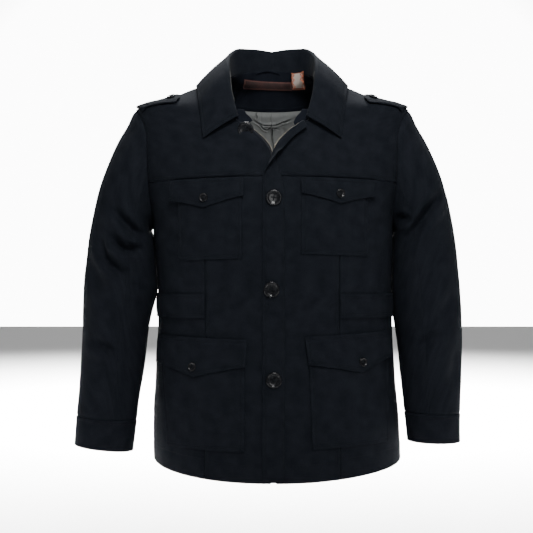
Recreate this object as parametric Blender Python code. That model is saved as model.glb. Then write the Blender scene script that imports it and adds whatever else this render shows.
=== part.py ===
"""Car coat in dark wool cloth, standing in the shape that a wearer gives it, with nobody inside.

Metres, +Z up, the front faces -Y, and +X is the wearer's left. The origin is the middle of the
neck opening at shoulder height, where the wearer's shoulders and neck hold the coat up.

The torso is a stack of rounded sections. Every panel is a patch of that surface, bounded by the
seams a tailor would sew, and every pocket, flap and strap is a patch moved out from it.
A place on the torso is (angle, height): angle 0 is the centre front, 90 degrees the side and
180 degrees the centre back, positive towards the wearer's left.
"""

import math
from collections import namedtuple

import bmesh
import bpy
import numpy as np
from mathutils import Vector

# Cloth and seams
CLOTH = 0.0025  # melton shell with its interlining
COLLAR_CLOTH = 0.0030
POCKET_CLOTH = 0.0020
LINING_CLOTH = 0.0010
SEAM_GAP = 0.0003
LAYER_GAP = 0.0006  # between a panel and what is sewn on it
LINING_GAP = 0.0045  # the lining hangs free of the shell

# Heights of the main lines of the coat
HEM_FRONT = -0.710
HEM_SIDE = -0.684
HEM_BACK = -0.700
UNDERARM = -0.264
YOKE_SEAM = -0.176
SHOULDER_POINT = -0.047
NECK_SIDE = 0.0155
NECK_BACK = 0.036
V_FOOT = -0.134  # where the open fronts meet

# Widths across the front
ZIP_LINE = 0.002  # the zip runs a little to the wearer's left of the middle
FRONT_EDGE_SETBACK = 0.0045  # from the zip's teeth to the cloth edge
PANEL_SEAM = 0.118
COLLAR_END = (0.063, -0.074)  # x and height where the collar's front end is sewn

# Armhole, an oval seen from the side
ARMHOLE_MIDDLE = (UNDERARM + SHOULDER_POINT) / 2
ARMHOLE_HALF_HEIGHT = (SHOULDER_POINT - UNDERARM) / 2
ARMHOLE_HALF_DEPTH = 0.064
ARMHOLE_STEPS = 24
YOKE_STEPS = 7  # armhole steps from the shoulder point to the yoke seam
FRONT_STEPS = 5  # armhole steps from the yoke seam to the underarm

SIDE_ROWS = 12
FRONT_COLUMNS = 5
SIDE_COLUMNS = 3
BACK_COLUMNS = 12

Section = namedtuple("Section", "height half_width front_depth back_depth roundness sway")
TORSO = (
    Section(-0.720, 0.2260, 0.160, 0.150, 2.40, 0.0105),
    Section(-0.660, 0.2262, 0.159, 0.149, 2.40, 0.0084),
    Section(-0.600, 0.2250, 0.156, 0.146, 2.40, 0.0074),
    Section(-0.540, 0.2205, 0.151, 0.142, 2.40, 0.0056),
    Section(-0.480, 0.2178, 0.145, 0.136, 2.40, 0.0046),
    Section(-0.430, 0.2152, 0.142, 0.133, 2.40, 0.0030),
    Section(-0.370, 0.2152, 0.145, 0.135, 2.40, 0.0012),
    Section(-0.310, 0.2175, 0.150, 0.139, 2.45, 0.0),
    Section(-0.264, 0.2195, 0.151, 0.142, 2.50, 0.0),
    Section(-0.230, 0.2245, 0.149, 0.143, 2.50, 0.0),
    Section(-0.190, 0.2350, 0.144, 0.142, 2.50, 0.0),
    Section(-0.140, 0.2435, 0.134, 0.137, 2.40, 0.0),
    Section(-0.090, 0.2490, 0.118, 0.126, 2.15, 0.0),
    Section(-0.060, 0.2520, 0.107, 0.114, 2.00, 0.0),
    Section(-0.047, 0.2525, 0.101, 0.107, 1.90, 0.0),
    Section(-0.040, 0.2410, 0.098, 0.104, 1.85, 0.0),
    Section(-0.034, 0.2220, 0.095, 0.102, 1.85, 0.0),
    Section(-0.028, 0.1990, 0.093, 0.100, 1.85, 0.0),
    Section(-0.018, 0.1720, 0.089, 0.097, 1.85, 0.0),
    Section(-0.006, 0.1440, 0.085, 0.093, 1.90, 0.0),
    Section(0.004, 0.1150, 0.080, 0.089, 1.90, 0.0),
    Section(0.011, 0.0920, 0.076, 0.085, 2.00, 0.0),
    Section(0.0155, 0.0790, 0.073, 0.083, 2.00, 0.0),
    Section(0.026, 0.0745, 0.070, 0.082, 2.00, 0.0),
    Section(0.040, 0.0710, 0.068, 0.082, 2.00, 0.0),
)

# The front neckline, from the side of the neck to the collar's front end
NeckPoint = namedtuple("NeckPoint", "across height")
NECK_FRONT = (
    NeckPoint(0.0790, NECK_SIDE),
    NeckPoint(0.0790, 0.0090),
    NeckPoint(0.0785, -0.0020),
    NeckPoint(0.0755, -0.0240),
    NeckPoint(0.0700, -0.0500),
    NeckPoint(*COLLAR_END),
)

# Sleeve sections: the outer and the inner point seen from the front, and the depth in front of
# and behind the middle of the arm. The first is the armhole, the last the cuff's edge.
Ring = namedtuple("Ring", "number outer_x outer_z inner_x inner_z front back middle_y")
SLEEVE = (
    Ring(0, 0.2525, SHOULDER_POINT, 0.2195, UNDERARM, 0.064, 0.064, 0.000),
    Ring(1, 0.2660, -0.0730, 0.2225, -0.2710, 0.069, 0.069, 0.000),
    Ring(2, 0.2835, -0.1030, 0.2230, -0.2800, 0.073, 0.074, 0.000),
    Ring(3, 0.2990, -0.1370, 0.2230, -0.2920, 0.076, 0.078, 0.000),
    Ring(4, 0.3130, -0.1740, 0.2230, -0.3070, 0.077, 0.080, 0.000),
    Ring(5, 0.3245, -0.2160, 0.2228, -0.3260, 0.077, 0.080, -0.002),
    Ring(6, 0.3350, -0.2670, 0.2225, -0.3510, 0.075, 0.078, -0.005),
    Ring(7, 0.3420, -0.3240, 0.2228, -0.3820, 0.072, 0.075, -0.009),
    Ring(8, 0.3465, -0.3840, 0.2236, -0.4190, 0.069, 0.071, -0.013),
    Ring(9, 0.3475, -0.4400, 0.2270, -0.4580, 0.066, 0.067, -0.018),
    Ring(10, 0.3480, -0.5000, 0.2325, -0.5100, 0.062, 0.062, -0.026),
    Ring(11, 0.3490, -0.5560, 0.2400, -0.5620, 0.057, 0.057, -0.036),
    Ring(12, 0.3505, -0.6020, 0.2455, -0.6080, 0.0535, 0.0535, -0.045),
    Ring(13, 0.3520, -0.6540, 0.2510, -0.6620, 0.0515, 0.0515, -0.055),
)
SLEEVE_ROWS = 17  # rows of cloth from the armhole to the cuff seam
CUFF_RING = 12
TOP_SLEEVE_STEPS = 14  # of the armhole's 24, the others are the under sleeve's
# How far each cuff's outer and inner side are from that table
SleeveEnd = namedtuple("SleeveEnd", "outer_x inner_x outer_z inner_z")
SLEEVE_ENDS = {
    "right": SleeveEnd(0.0050, 0.0000, 0.0000, -0.0040),
    "left": SleeveEnd(-0.0125, -0.0073, 0.0050, 0.0150),
}

# The largest folds, as soft troughs between two points seen from the front or from behind
Fold = namedtuple("Fold", "x1 z1 x2 z2 width depth")
SLEEVE_FOLDS = {
    ("right", "front"): (
        Fold(0.318, -0.270, 0.226, -0.310, 0.012, 0.0055),
        Fold(0.282, -0.225, 0.240, -0.282, 0.011, 0.0040),
        Fold(0.318, -0.468, 0.276, -0.492, 0.013, 0.0045),
    ),
    ("left", "front"): (
        Fold(0.308, -0.198, 0.236, -0.296, 0.012, 0.0065),
        Fold(0.300, -0.468, 0.252, -0.508, 0.013, 0.0035),
    ),
    ("right", "back"): (
        Fold(0.300, -0.215, 0.232, -0.300, 0.013, 0.0055),
        Fold(0.310, -0.455, 0.262, -0.485, 0.013, 0.0045),
    ),
    ("left", "back"): (
        Fold(0.312, -0.230, 0.230, -0.305, 0.013, 0.0055),
        Fold(0.316, -0.450, 0.270, -0.478, 0.013, 0.0045),
    ),
}

# Collar stations from the front end (0) to the centre back (9): the roll line and the outer edge
CollarStation = namedtuple("CollarStation", "roll_x roll_y roll_z edge_x edge_y edge_z")
COLLAR = (
    CollarStation(0.0635, -0.1190, -0.0700, 0.1215, -0.1150, -0.1075),
    CollarStation(0.0710, -0.1090, -0.0430, 0.1250, -0.1070, -0.0880),
    CollarStation(0.0775, -0.0940, -0.0130, 0.1265, -0.0960, -0.0680),
    CollarStation(0.0805, -0.0760, 0.0160, 0.1300, -0.0720, -0.0400),
    CollarStation(0.0820, -0.0520, 0.0360, 0.1335, -0.0420, -0.0180),
    CollarStation(0.0825, -0.0040, 0.0530, 0.1360, -0.0030, -0.0040),
    CollarStation(0.0795, 0.0340, 0.0660, 0.1180, 0.0420, 0.0010),
    CollarStation(0.0610, 0.0640, 0.0800, 0.0840, 0.0720, 0.0060),
    CollarStation(0.0330, 0.0830, 0.0815, 0.0440, 0.0920, 0.0100),
    CollarStation(0.0000, 0.0910, 0.0780, 0.0000, 0.0980, 0.0120),
)
COLLAR_FOLD = 0.0012  # radius inside the roll
COLLAR_COLUMNS = 28
COLLAR_BULGE = 0.0035

# Placket: the band on the wearer's left front that hides the zip
PLACKET_OVER = 0.0200  # beyond the zip line
PLACKET_BAND = 0.0195  # from the zip line to its stitching
PLACKET_TURN_LOW = -0.196  # the band's free edge starts to turn outwards here
PLACKET_TURN_HIGH = -0.140
PLACKET_TURN = math.radians(168)
PLACKET_ROLL = 0.0085  # cloth taken up by the turn

# Pockets: how far across their sides are at the top and at the bottom, and the corners' heights
Pocket = namedtuple("Pocket", "inner outer low_inner low_outer top_in top_out bottom_in bottom_out")
CHEST_POCKETS = {
    "right": Pocket(-0.0530, -0.1650, -0.0530, -0.1650, -0.196, -0.201, -0.3200, -0.3240),
    "left": Pocket(0.0500, 0.1680, 0.0500, 0.1680, -0.194, -0.198, -0.3120, -0.3160),
}
LOWER_POCKETS = {
    "right": Pocket(-0.0470, -0.2000, -0.0484, -0.1850, -0.486, -0.480, -0.6560, -0.6500),
    "left": Pocket(0.0630, 0.2070, 0.0690, 0.2050, -0.482, -0.472, -0.6510, -0.6430),
}
# Flaps, the same, with the place of the flap's point
Flap = namedtuple("Flap", "inner outer low_inner low_outer top_in top_out low_in low_out point_x point_z")
CHEST_FLAPS = {
    "right": Flap(-0.0490, -0.1780, -0.0500, -0.1780, -0.1785, -0.1840, -0.2120, -0.2180, -0.1180, -0.2315),
    "left": Flap(0.0490, 0.1800, 0.0500, 0.1780, -0.1780, -0.1815, -0.2070, -0.2110, 0.1170, -0.2245),
}
LOWER_FLAPS = {
    "right": Flap(-0.0430, -0.2020, -0.0465, -0.2030, -0.4620, -0.4560, -0.5100, -0.5060, -0.1370, -0.5280),
    "left": Flap(0.0560, 0.2040, 0.0620, 0.2085, -0.4570, -0.4490, -0.5060, -0.4960, 0.1550, -0.5200),
}
POCKET_COLUMNS = 7
FLAP_ROWS = (0.0, 0.28, 0.55, 0.8, 1.0)

# Side belts: strips round the waist, from the panel seam to behind the side seam
BELT_TOP = -0.3820
BELT_HEIGHT = 0.0430
BELT_BACK_ANGLE = math.radians(118)
BELT_COLUMNS = 16

# Epaulets
EPAULET_SETBACK = 0.0035  # from the armhole seam
EPAULET_TIP = 0.1660
EPAULET_WIDTH = 0.0480
EPAULET_MIDDLE = (-0.014, -0.048)  # how far forward its middle is, at the sleeve and at the point
EPAULET_LIE = 0.0012  # above the shoulder

# Buttons
FRONT_BUTTON = 0.0140  # radius
SMALL_BUTTON = 0.0080
BUTTON_THICK = 0.0042
SMALL_BUTTON_THICK = 0.0034
FRONT_BUTTON_HEIGHTS = (-0.2150, -0.3735, -0.5315)
FRONT_BUTTON_X = (0.0025, -0.0015, 0.0025)
TOP_BUTTON = (-0.0470, -0.0930)  # the open one, on the wearer's right front

# Inside of the neck
FACING_FOOT = -0.031
LINING_HEIGHTS = (-0.672, -0.600, -0.520, -0.440, -0.370, -0.310, -0.260, -0.220, -0.180, -0.140, -0.100, -0.070)
LABEL = (-0.0560, 0.0370, 0.0030, 0.0220)  # left, right, foot, top
SIZE_LABEL = (0.0410, 0.0660, 0.0030, 0.0330)

COLOURS = {
    "wool": (0.0095, 0.0115, 0.0150),
    "lining": (0.0900, 0.0950, 0.0930),
    "button": (0.0060, 0.0065, 0.0075),
    "zip_metal": (0.4200, 0.3600, 0.2600),
    "label": (0.0450, 0.0140, 0.0110),
    "size_label": (0.3600, 0.3000, 0.2600),
}


def smooth_columns(rows):
    """A function that reads every column but the first, smoothly and without overshoot."""
    table = np.array(rows, float)
    key, values = table[:, 0], table[:, 1:]
    steps = np.diff(key)
    slopes = np.diff(values, axis=0) / steps[:, None]
    tangents = np.empty_like(values)
    tangents[0], tangents[-1] = slopes[0], slopes[-1]
    for i in range(1, len(key) - 1):
        before, after = slopes[i - 1], slopes[i]
        rising = before * after > 0
        near = 2 * steps[i] + steps[i - 1]
        far = steps[i] + 2 * steps[i - 1]
        spread = np.where(rising, near / np.where(rising, before, 1) + far / np.where(rising, after, 1), 1)
        tangents[i] = np.where(rising, (near + far) / spread, 0)

    def read(at):
        at = min(max(at, key[0]), key[-1])
        i = min(int(np.searchsorted(key, at, side="right")) - 1, len(steps) - 1)
        s, h = (at - key[i]) / steps[i], steps[i]
        return (
            (2 * s**3 - 3 * s**2 + 1) * values[i]
            + (s**3 - 2 * s**2 + s) * h * tangents[i]
            + (3 * s**2 - 2 * s**3) * values[i + 1]
            + (s**3 - s**2) * h * tangents[i + 1]
        )

    return read


read_torso = smooth_columns(TORSO)
read_sleeve = smooth_columns(SLEEVE)
read_collar = smooth_columns([(i, *station) for i, station in enumerate(COLLAR)])


def blend(low, high, at):
    """0 below low, 1 above high, smooth between."""
    s = min(max((at - low) / (high - low), 0.0), 1.0)
    return s * s * (3 - 2 * s)


def torso_point(angle, height):
    half_width, front, back, roundness, sway = read_torso(height)
    side, ahead = math.sin(angle), math.cos(angle)
    reach = (abs(side) ** roundness + abs(ahead) ** roundness) ** (-1 / roundness)
    depth = front if ahead > 0 else back
    return Vector((sway + half_width * side * reach, -depth * ahead * reach, height))


def torso_normal(angle, height):
    step = 1e-4
    round_it = torso_point(angle + step, height) - torso_point(angle - step, height)
    up = torso_point(angle, height + step) - torso_point(angle, height - step)
    return round_it.cross(up).normalized()


def on_torso(place, out=0.0):
    point = torso_point(*place)
    return point + torso_normal(*place) * out if out else point


def place_across(x, height):
    """The place on the front of the torso that is x from the middle."""
    half_width, _, _, roundness, sway = read_torso(height)
    share = min(abs(x - sway) / half_width, 1.0)
    angle = math.atan2(share, (1 - share**roundness) ** (1 / roundness))
    return (math.copysign(angle, x - sway), height)


def place_deep(y, height):
    """The place on the wearer's left side of the torso that is y in front of or behind the middle."""
    _, front, back, roundness, _ = read_torso(height)
    share = min(abs(y) / (front if y < 0 else back), 1.0)
    angle = math.atan2((1 - share**roundness) ** (1 / roundness), share)
    return (angle if y < 0 else math.pi - angle, height)


def outside_torso(point):
    """Roughly how far a point is outside the torso's surface, and the way out."""

    def level(p):
        half_width, front, back, roundness, sway = read_torso(p.z)
        depth = front if p.y < 0 else back
        share = (abs(p.x - sway) / half_width) ** roundness + (abs(p.y) / depth) ** roundness
        return share ** (1 / roundness) - 1

    step = 2e-4
    slope = Vector(
        [(level(point + axis * step) - level(point - axis * step)) / (2 * step) for axis in AXES]
    )
    return level(point) / slope.length, slope.normalized()


AXES = (Vector((1, 0, 0)), Vector((0, 1, 0)), Vector((0, 0, 1)))


def clear_of_torso(point, distance):
    for _ in range(6):
        gap, way = outside_torso(point)
        if gap < distance:
            point = point + way * (distance - gap)
    return point


def hem_height(angle):
    turn = math.sin(angle) ** 2
    middle = HEM_FRONT if math.cos(angle) > 0 else HEM_BACK
    return middle + (HEM_SIDE - middle) * turn


def armhole_place(step):
    """A point of the armhole seam: step 0 at the shoulder, then forwards, 12 at the underarm."""
    turn = 2 * math.pi * step / ARMHOLE_STEPS
    height = ARMHOLE_MIDDLE + ARMHOLE_HALF_HEIGHT * math.cos(turn)
    return place_deep(-ARMHOLE_HALF_DEPTH * math.sin(turn), height)


def shoulder_place(share):
    """A point of the shoulder seam, from the neck (0) to the shoulder point (1)."""
    x = NECK_FRONT[0].across + (read_torso(SHOULDER_POINT)[0] - NECK_FRONT[0].across) * share
    low, high = SHOULDER_POINT, NECK_SIDE
    for _ in range(40):
        middle = (low + high) / 2
        if read_torso(middle)[0] > x:
            low = middle
        else:
            high = middle
    return (math.pi / 2, (low + high) / 2)


def neck_back_place(share):
    """The back neckline, from the wearer's left side of the neck (0) round to the right (1)."""
    angle = math.pi / 2 + math.pi * share
    return (angle, NECK_SIDE + (NECK_BACK - NECK_SIDE) * math.sin(math.pi * share))


def front_edge_place(height, side, setback):
    """A point of a front's edge: straight up beside the zip, then along the V of the opening."""
    open_by = max(0.0, height - V_FOOT)
    slope = (COLLAR_END[0] - FRONT_EDGE_SETBACK) / (COLLAR_END[1] - V_FOOT)
    return place_across(ZIP_LINE * (1 - blend(V_FOOT, COLLAR_END[1], height)) + side * (setback + slope * open_by), height)


def coons(bottom, top, left, right):
    """Fills in between four edges, given as lists of places. Left and right run upwards."""
    bottom, top, left, right = (np.array(edge) for edge in (bottom, top, left, right))
    u = np.linspace(0, 1, len(bottom))[None, :, None]
    v = np.linspace(0, 1, len(left))[:, None, None]
    ruled_up = (1 - v) * bottom[None] + v * top[None]
    ruled_across = (1 - u) * left[:, None] + u * right[:, None]
    corners = (1 - v) * ((1 - u) * bottom[0] + u * bottom[-1]) + v * ((1 - u) * top[0] + u * top[-1])
    return [[tuple(place) for place in row] for row in ruled_up + ruled_across - corners]


def spaced(count):
    return [i / count for i in range(count + 1)]


MATERIALS = {}


def material(name):
    if name not in MATERIALS:
        made = bpy.data.materials.new(name)
        made.use_nodes = True
        shader = made.node_tree.nodes["Principled BSDF"]
        shader.inputs["Base Color"].default_value = (*COLOURS[name], 1)
        shader.inputs["Roughness"].default_value = {"wool": 0.9, "button": 0.25, "zip_metal": 0.35}.get(name, 0.7)
        shader.inputs["Metallic"].default_value = 1.0 if name == "zip_metal" else 0.0
        MATERIALS[name] = made
    return MATERIALS[name]


def shell(name, outer, inner, finish, closed=False):
    """One solid between two grids of points, given as rows. A closed one joins its last column to its first."""
    rows, columns = len(outer), len(outer[0])
    bm = bmesh.new()
    layers = [[[bm.verts.new(point) for point in row] for row in grid] for grid in (outer, inner)]
    last = columns if closed else columns - 1
    for layer in layers:
        for i in range(rows - 1):
            for j in range(last):
                k = (j + 1) % columns
                bm.faces.new((layer[i][j], layer[i][k], layer[i + 1][k], layer[i + 1][j]))
    for i in (0, rows - 1):
        for j in range(last):
            k = (j + 1) % columns
            bm.faces.new((layers[0][i][j], layers[0][i][k], layers[1][i][k], layers[1][i][j]))
    if not closed:
        for j in (0, columns - 1):
            for i in range(rows - 1):
                bm.faces.new((layers[0][i][j], layers[0][i + 1][j], layers[1][i + 1][j], layers[1][i][j]))
    bmesh.ops.recalc_face_normals(bm, faces=bm.faces)
    return finished(name, bm, finish)


def finished(name, bm, finish):
    mesh = bpy.data.meshes.new(name)
    bm.to_mesh(mesh)
    bm.free()
    mesh.shade_smooth()
    mesh.set_sharp_from_angle(angle=math.radians(40))
    mesh.materials.append(material(finish))
    made = bpy.data.objects.new(name, mesh)
    bpy.context.scene.collection.objects.link(made)
    return made


def drawn_in(grid, amount, edges="btlr"):
    """Pulls a grid's border in by the amount: bottom and top are the first and last rows."""
    grid = [[point.copy() for point in row] for row in grid]
    pulls = {"b": [(0, j, 1, j) for j in range(len(grid[0]))], "t": [(-1, j, -2, j) for j in range(len(grid[0]))]}
    pulls["l"] = [(i, 0, i, 1) for i in range(len(grid))]
    pulls["r"] = [(i, -1, i, -2) for i in range(len(grid))]
    for edge in edges:
        moves = [(i, j, (grid[m][n] - grid[i][j]).normalized() * amount) for i, j, m, n in pulls[edge]]
        for i, j, move in moves:
            grid[i][j] += move
    return grid


def patch(name, places, finish="wool", out=0.0, thick=CLOTH, lift=None):
    """A wall of cloth on the torso. Its outer face is out from the torso, plus lift(row, column)."""
    faces = []
    for depth in (0.0, thick):
        grid = [
            [on_torso(place, out - depth + (lift(i, j) if lift else 0.0)) for j, place in enumerate(row)]
            for i, row in enumerate(places)
        ]
        faces.append(drawn_in(grid, SEAM_GAP / 2))
    return shell(name, *faces, finish)


def mirrored(places):
    return [[(-angle, height) for angle, height in row] for row in places]


def yoke_seam(share):
    """The front yoke seam from the front edge (0) to the armhole (1), dipping to the armhole."""
    start = front_edge_place(YOKE_SEAM, 1, FRONT_EDGE_SETBACK)
    end = armhole_place(YOKE_STEPS)
    seam_share = (PANEL_SEAM - start_x(start)) / (start_x(end) - start_x(start))
    share = share * seam_share / 0.625 if share < 0.625 else seam_share + (share - 0.625) * (1 - seam_share) / 0.375
    x = start_x(start) + (start_x(end) - start_x(start)) * share
    return place_across(x, YOKE_SEAM + (end[1] - YOKE_SEAM) * share**1.6)


def start_x(place):
    return torso_point(*place).x


def front_panels():
    seam_top = FRONT_COLUMNS / (FRONT_COLUMNS + SIDE_COLUMNS)
    top = [yoke_seam(seam_top * s) for s in spaced(FRONT_COLUMNS)]
    side_top = [yoke_seam(seam_top + (1 - seam_top) * s) for s in spaced(SIDE_COLUMNS)]
    side_top += [armhole_place(YOKE_STEPS + i) for i in range(1, FRONT_STEPS + 1)]

    def rising(x_or_angle, top_height, low):
        return [low + (top_height - low) * s for s in spaced(SIDE_ROWS)]

    edge_low = hem_height(0)
    seam_angle = place_across(PANEL_SEAM, HEM_FRONT)[0]
    edge = [front_edge_place(z, 1, FRONT_EDGE_SETBACK) for z in rising(0, top[0][1], edge_low)]
    seam = [place_across(PANEL_SEAM, z) for z in rising(0, top[-1][1], hem_height(seam_angle))]
    side = [(math.pi / 2, z) for z in rising(0, UNDERARM, HEM_SIDE)]
    low = [place_across(start_x(edge[0]) + (PANEL_SEAM - start_x(edge[0])) * s, 0)[0] for s in spaced(FRONT_COLUMNS)]
    low_x = [start_x(edge[0]) + (PANEL_SEAM - start_x(edge[0])) * s for s in spaced(FRONT_COLUMNS)]
    bottom = [place_across(x, hem_height(place_across(x, HEM_FRONT)[0])) for x in low_x]
    bottom[0], bottom[-1] = edge[0], seam[0]
    side_angles = [seam[0][0] + (math.pi / 2 - seam[0][0]) * s for s in spaced(len(side_top) - 1)]
    side_bottom = [(angle, hem_height(angle)) for angle in side_angles]
    side_bottom[0] = seam[0]
    return coons(bottom, top, edge, seam), coons(side_bottom, side_top, seam, side), top + side_top[1 : SIDE_COLUMNS + 1]


def yoke_panel(seam):
    v_heights = [V_FOOT + (COLLAR_END[1] - V_FOOT) * s / 3 for s in range(4)]
    edge = [front_edge_place(z, 1, FRONT_EDGE_SETBACK) for z in [YOKE_SEAM, *v_heights]]
    edge[-1] = place_across(*COLLAR_END)
    edge += [place_across(point.across, point.height) for point in (NECK_FRONT[3], NECK_FRONT[1])]
    edge.append((math.pi / 2, NECK_SIDE))
    edge[0] = seam[0]
    armhole = [armhole_place(YOKE_STEPS - i) for i in range(YOKE_STEPS + 1)]
    shoulder = [shoulder_place(s) for s in spaced(len(seam) - 1)]
    return coons(seam, shoulder, edge, armhole)


def back_panel():
    side = [(math.pi / 2, HEM_SIDE + (UNDERARM - HEM_SIDE) * s) for s in spaced(SIDE_ROWS)]
    armhole = [armhole_place(12 + i) for i in range(1, 13)]
    armhole[-1] = (math.pi / 2, SHOULDER_POINT)
    shoulder = [shoulder_place(1 - s) for s in spaced(FRONT_COLUMNS + SIDE_COLUMNS)][1:]
    left = side + armhole + shoulder
    right = [(2 * math.pi - angle, height) for angle, height in left]
    angles = [math.pi / 2 + math.pi * s for s in spaced(BACK_COLUMNS)]
    bottom = [(angle, hem_height(angle)) for angle in angles]
    top = [neck_back_place(s) for s in spaced(BACK_COLUMNS)]
    return coons(bottom, top, left, right)


def make_body():
    front, side, seam = front_panels()
    yoke = yoke_panel(seam)
    patch("front_left", front)
    patch("side_left", side)
    patch("yoke_left", yoke)

    def other_front(places):
        """The same distances from the zip line on the other side, and from the panel seam outwards
        the same angles."""
        moved = []
        for row in places:
            for_row = []
            for angle, height in row:
                x = torso_point(angle, height).x
                near = max(0.0, 1 - x / PANEL_SEAM)
                shift = 2 * ZIP_LINE * near * (1 - blend(V_FOOT, COLLAR_END[1], height))
                seen = x < PANEL_SEAM + 1e-6 and height < COLLAR_END[1] + 0.05
                for_row.append(place_across(shift - x, height) if seen else (-angle, height))
            moved.append(for_row)
        return moved

    def other_panel(places):
        moved = []
        for row in places:
            for_row = []
            for angle, height in row:
                seam = place_across(PANEL_SEAM, height)[0]
                other_seam = place_across(-PANEL_SEAM, height)[0]
                near = max(0.0, (math.pi / 2 - angle) / (math.pi / 2 - seam))
                for_row.append((-angle + (other_seam + seam) * near, height))
            moved.append(for_row)
        return moved

    patch("front_right", other_front(front))
    patch("side_right", other_panel(side))
    patch("yoke_right", other_front(yoke))
    patch("back", back_panel())


def fold_depth(folds, x, z):
    """How far soft troughs pull the cloth in at a point seen from the front or from behind."""
    total = 0.0
    for fold in folds:
        along = Vector((fold.x2 - fold.x1, fold.z2 - fold.z1))
        to_point = Vector((x - fold.x1, z - fold.z1))
        share = to_point.dot(along) / along.length_squared
        aside = abs(along.x * to_point.y - along.y * to_point.x) / along.length
        past = max(0.0, -share, share - 1) * along.length
        total += fold.depth * math.exp(-((aside / fold.width) ** 2) - (past / (1.5 * fold.width)) ** 2)
    return total


def sleeve_point(side, turn, ring, moved_in=0.0):
    """A point of the sleeve. Turn 0 is its outer side, 90 degrees the front and 180 the body side."""
    outer_x, outer_z, inner_x, inner_z, front, back, middle_y = read_sleeve(ring)
    end, share = SLEEVE_ENDS[side], blend(9, 13.3, ring)
    outer = Vector((outer_x + end.outer_x * share, middle_y, outer_z + end.outer_z * share))
    inner = Vector((inner_x + end.inner_x * share, middle_y, inner_z + end.inner_z * share))
    half, middle = (outer - inner) / 2, (outer + inner) / 2
    depth = front if math.sin(turn) > 0 else back
    point = middle + half * math.cos(turn) - Vector((0, depth * math.sin(turn), 0))
    if ring < 4:
        start = read_sleeve(0)
        start_half = Vector((start[0] - start[2], 0, start[1] - start[3])) / 2
        oval = Vector((start[2], 0, start[3])) + start_half * (1 + math.cos(turn))
        oval.y = -ARMHOLE_HALF_DEPTH * math.sin(turn)
        seam = on_torso(armhole_place(turn * ARMHOLE_STEPS / (2 * math.pi)))
        point += (seam - oval) * (1 - blend(0, 4, ring))
    facing = "front" if math.sin(turn) > 0 else "back"
    fold = fold_depth(SLEEVE_FOLDS[side, facing], point.x, point.z) * min(1, abs(math.sin(turn)) * 1.6)
    way = middle - point
    way.normalize()
    return point + way * (fold + moved_in)


def grid_inside(grid, amount, inside, closed=False):
    """The grid moved in by the amount along its own normals, towards the inside points of each row."""
    rows, columns = len(grid), len(grid[0])
    moved = []
    for i in range(rows):
        row = []
        for j in range(columns):
            before, after = (j - 1, j + 1) if closed else (max(j - 1, 0), min(j + 1, columns - 1))
            across = grid[i][after % columns] - grid[i][before % columns]
            along = grid[min(i + 1, rows - 1)][j] - grid[max(i - 1, 0)][j]
            normal = across.cross(along).normalized()
            if normal.dot(inside[i] - grid[i][j]) < 0:
                normal = -normal
            row.append(grid[i][j] + normal * amount)
        moved.append(row)
    return moved


def sleeve_grids(side, rings):
    """Outer and inner faces of the whole sleeve, a column for each armhole step."""
    step = 2 * math.pi / ARMHOLE_STEPS
    outer = [[sleeve_point(side, step * j, ring) for j in range(ARMHOLE_STEPS)] for ring in rings]
    if rings[0] == 0:
        for point in outer[0]:
            point.x += 0.0005
    inner = grid_inside(outer, CLOTH, [ring_middle(side, ring) for ring in rings], closed=True)
    if rings[0] == 0:
        for i, point in enumerate(inner[0]):
            point.x = max(point.x, outer[0][i].x)
    return outer, inner


def columns_of(grid, first, last):
    return [[row[j % ARMHOLE_STEPS] for j in range(first, last + 1)] for row in grid]


def ring_middle(side, ring):
    return (sleeve_point(side, 0, ring) + sleeve_point(side, math.pi, ring)) / 2


def flipped(grid, side):
    sign = 1 if side == "left" else -1
    return [[Vector((point.x * sign, point.y, point.z)) for point in row] for row in grid]


def make_sleeve(side):
    half = TOP_SLEEVE_STEPS // 2
    grids = sleeve_grids(side, [CUFF_RING * s for s in spaced(SLEEVE_ROWS)])
    for name, first, last in (("sleeve_top", -half, half), ("sleeve_under", half, ARMHOLE_STEPS - half)):
        outer, inner = (drawn_in(columns_of(grid, first, last), SEAM_GAP / 2, "tlr") for grid in grids)
        shell(f"{name}_{side}", flipped(outer, side), flipped(inner, side), "wool")
    outer, inner = (drawn_in(grid, SEAM_GAP / 2, "b") for grid in sleeve_grids(side, [CUFF_RING + s for s in spaced(2)]))
    shell(f"cuff_{side}", flipped(outer, side), flipped(inner, side), "wool", closed=True)


def neckline_place(station):
    """The neck seam beside a collar station."""
    if station >= 5:
        return neck_back_place(0.5 * (station - 5) / 4)
    i = min(int(station), 4)
    low, high = NECK_FRONT[5 - i], NECK_FRONT[4 - i]
    x = low.across + (high.across - low.across) * (station - i)
    z = low.height + (high.height - low.height) * (station - i)
    return place_across(x, z) if read_torso(z)[0] > x else (math.pi / 2, z)


def settled_on_torso(point, distance):
    for _ in range(6):
        gap, way = outside_torso(point)
        point = point + way * (distance - gap)
    return point


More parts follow.
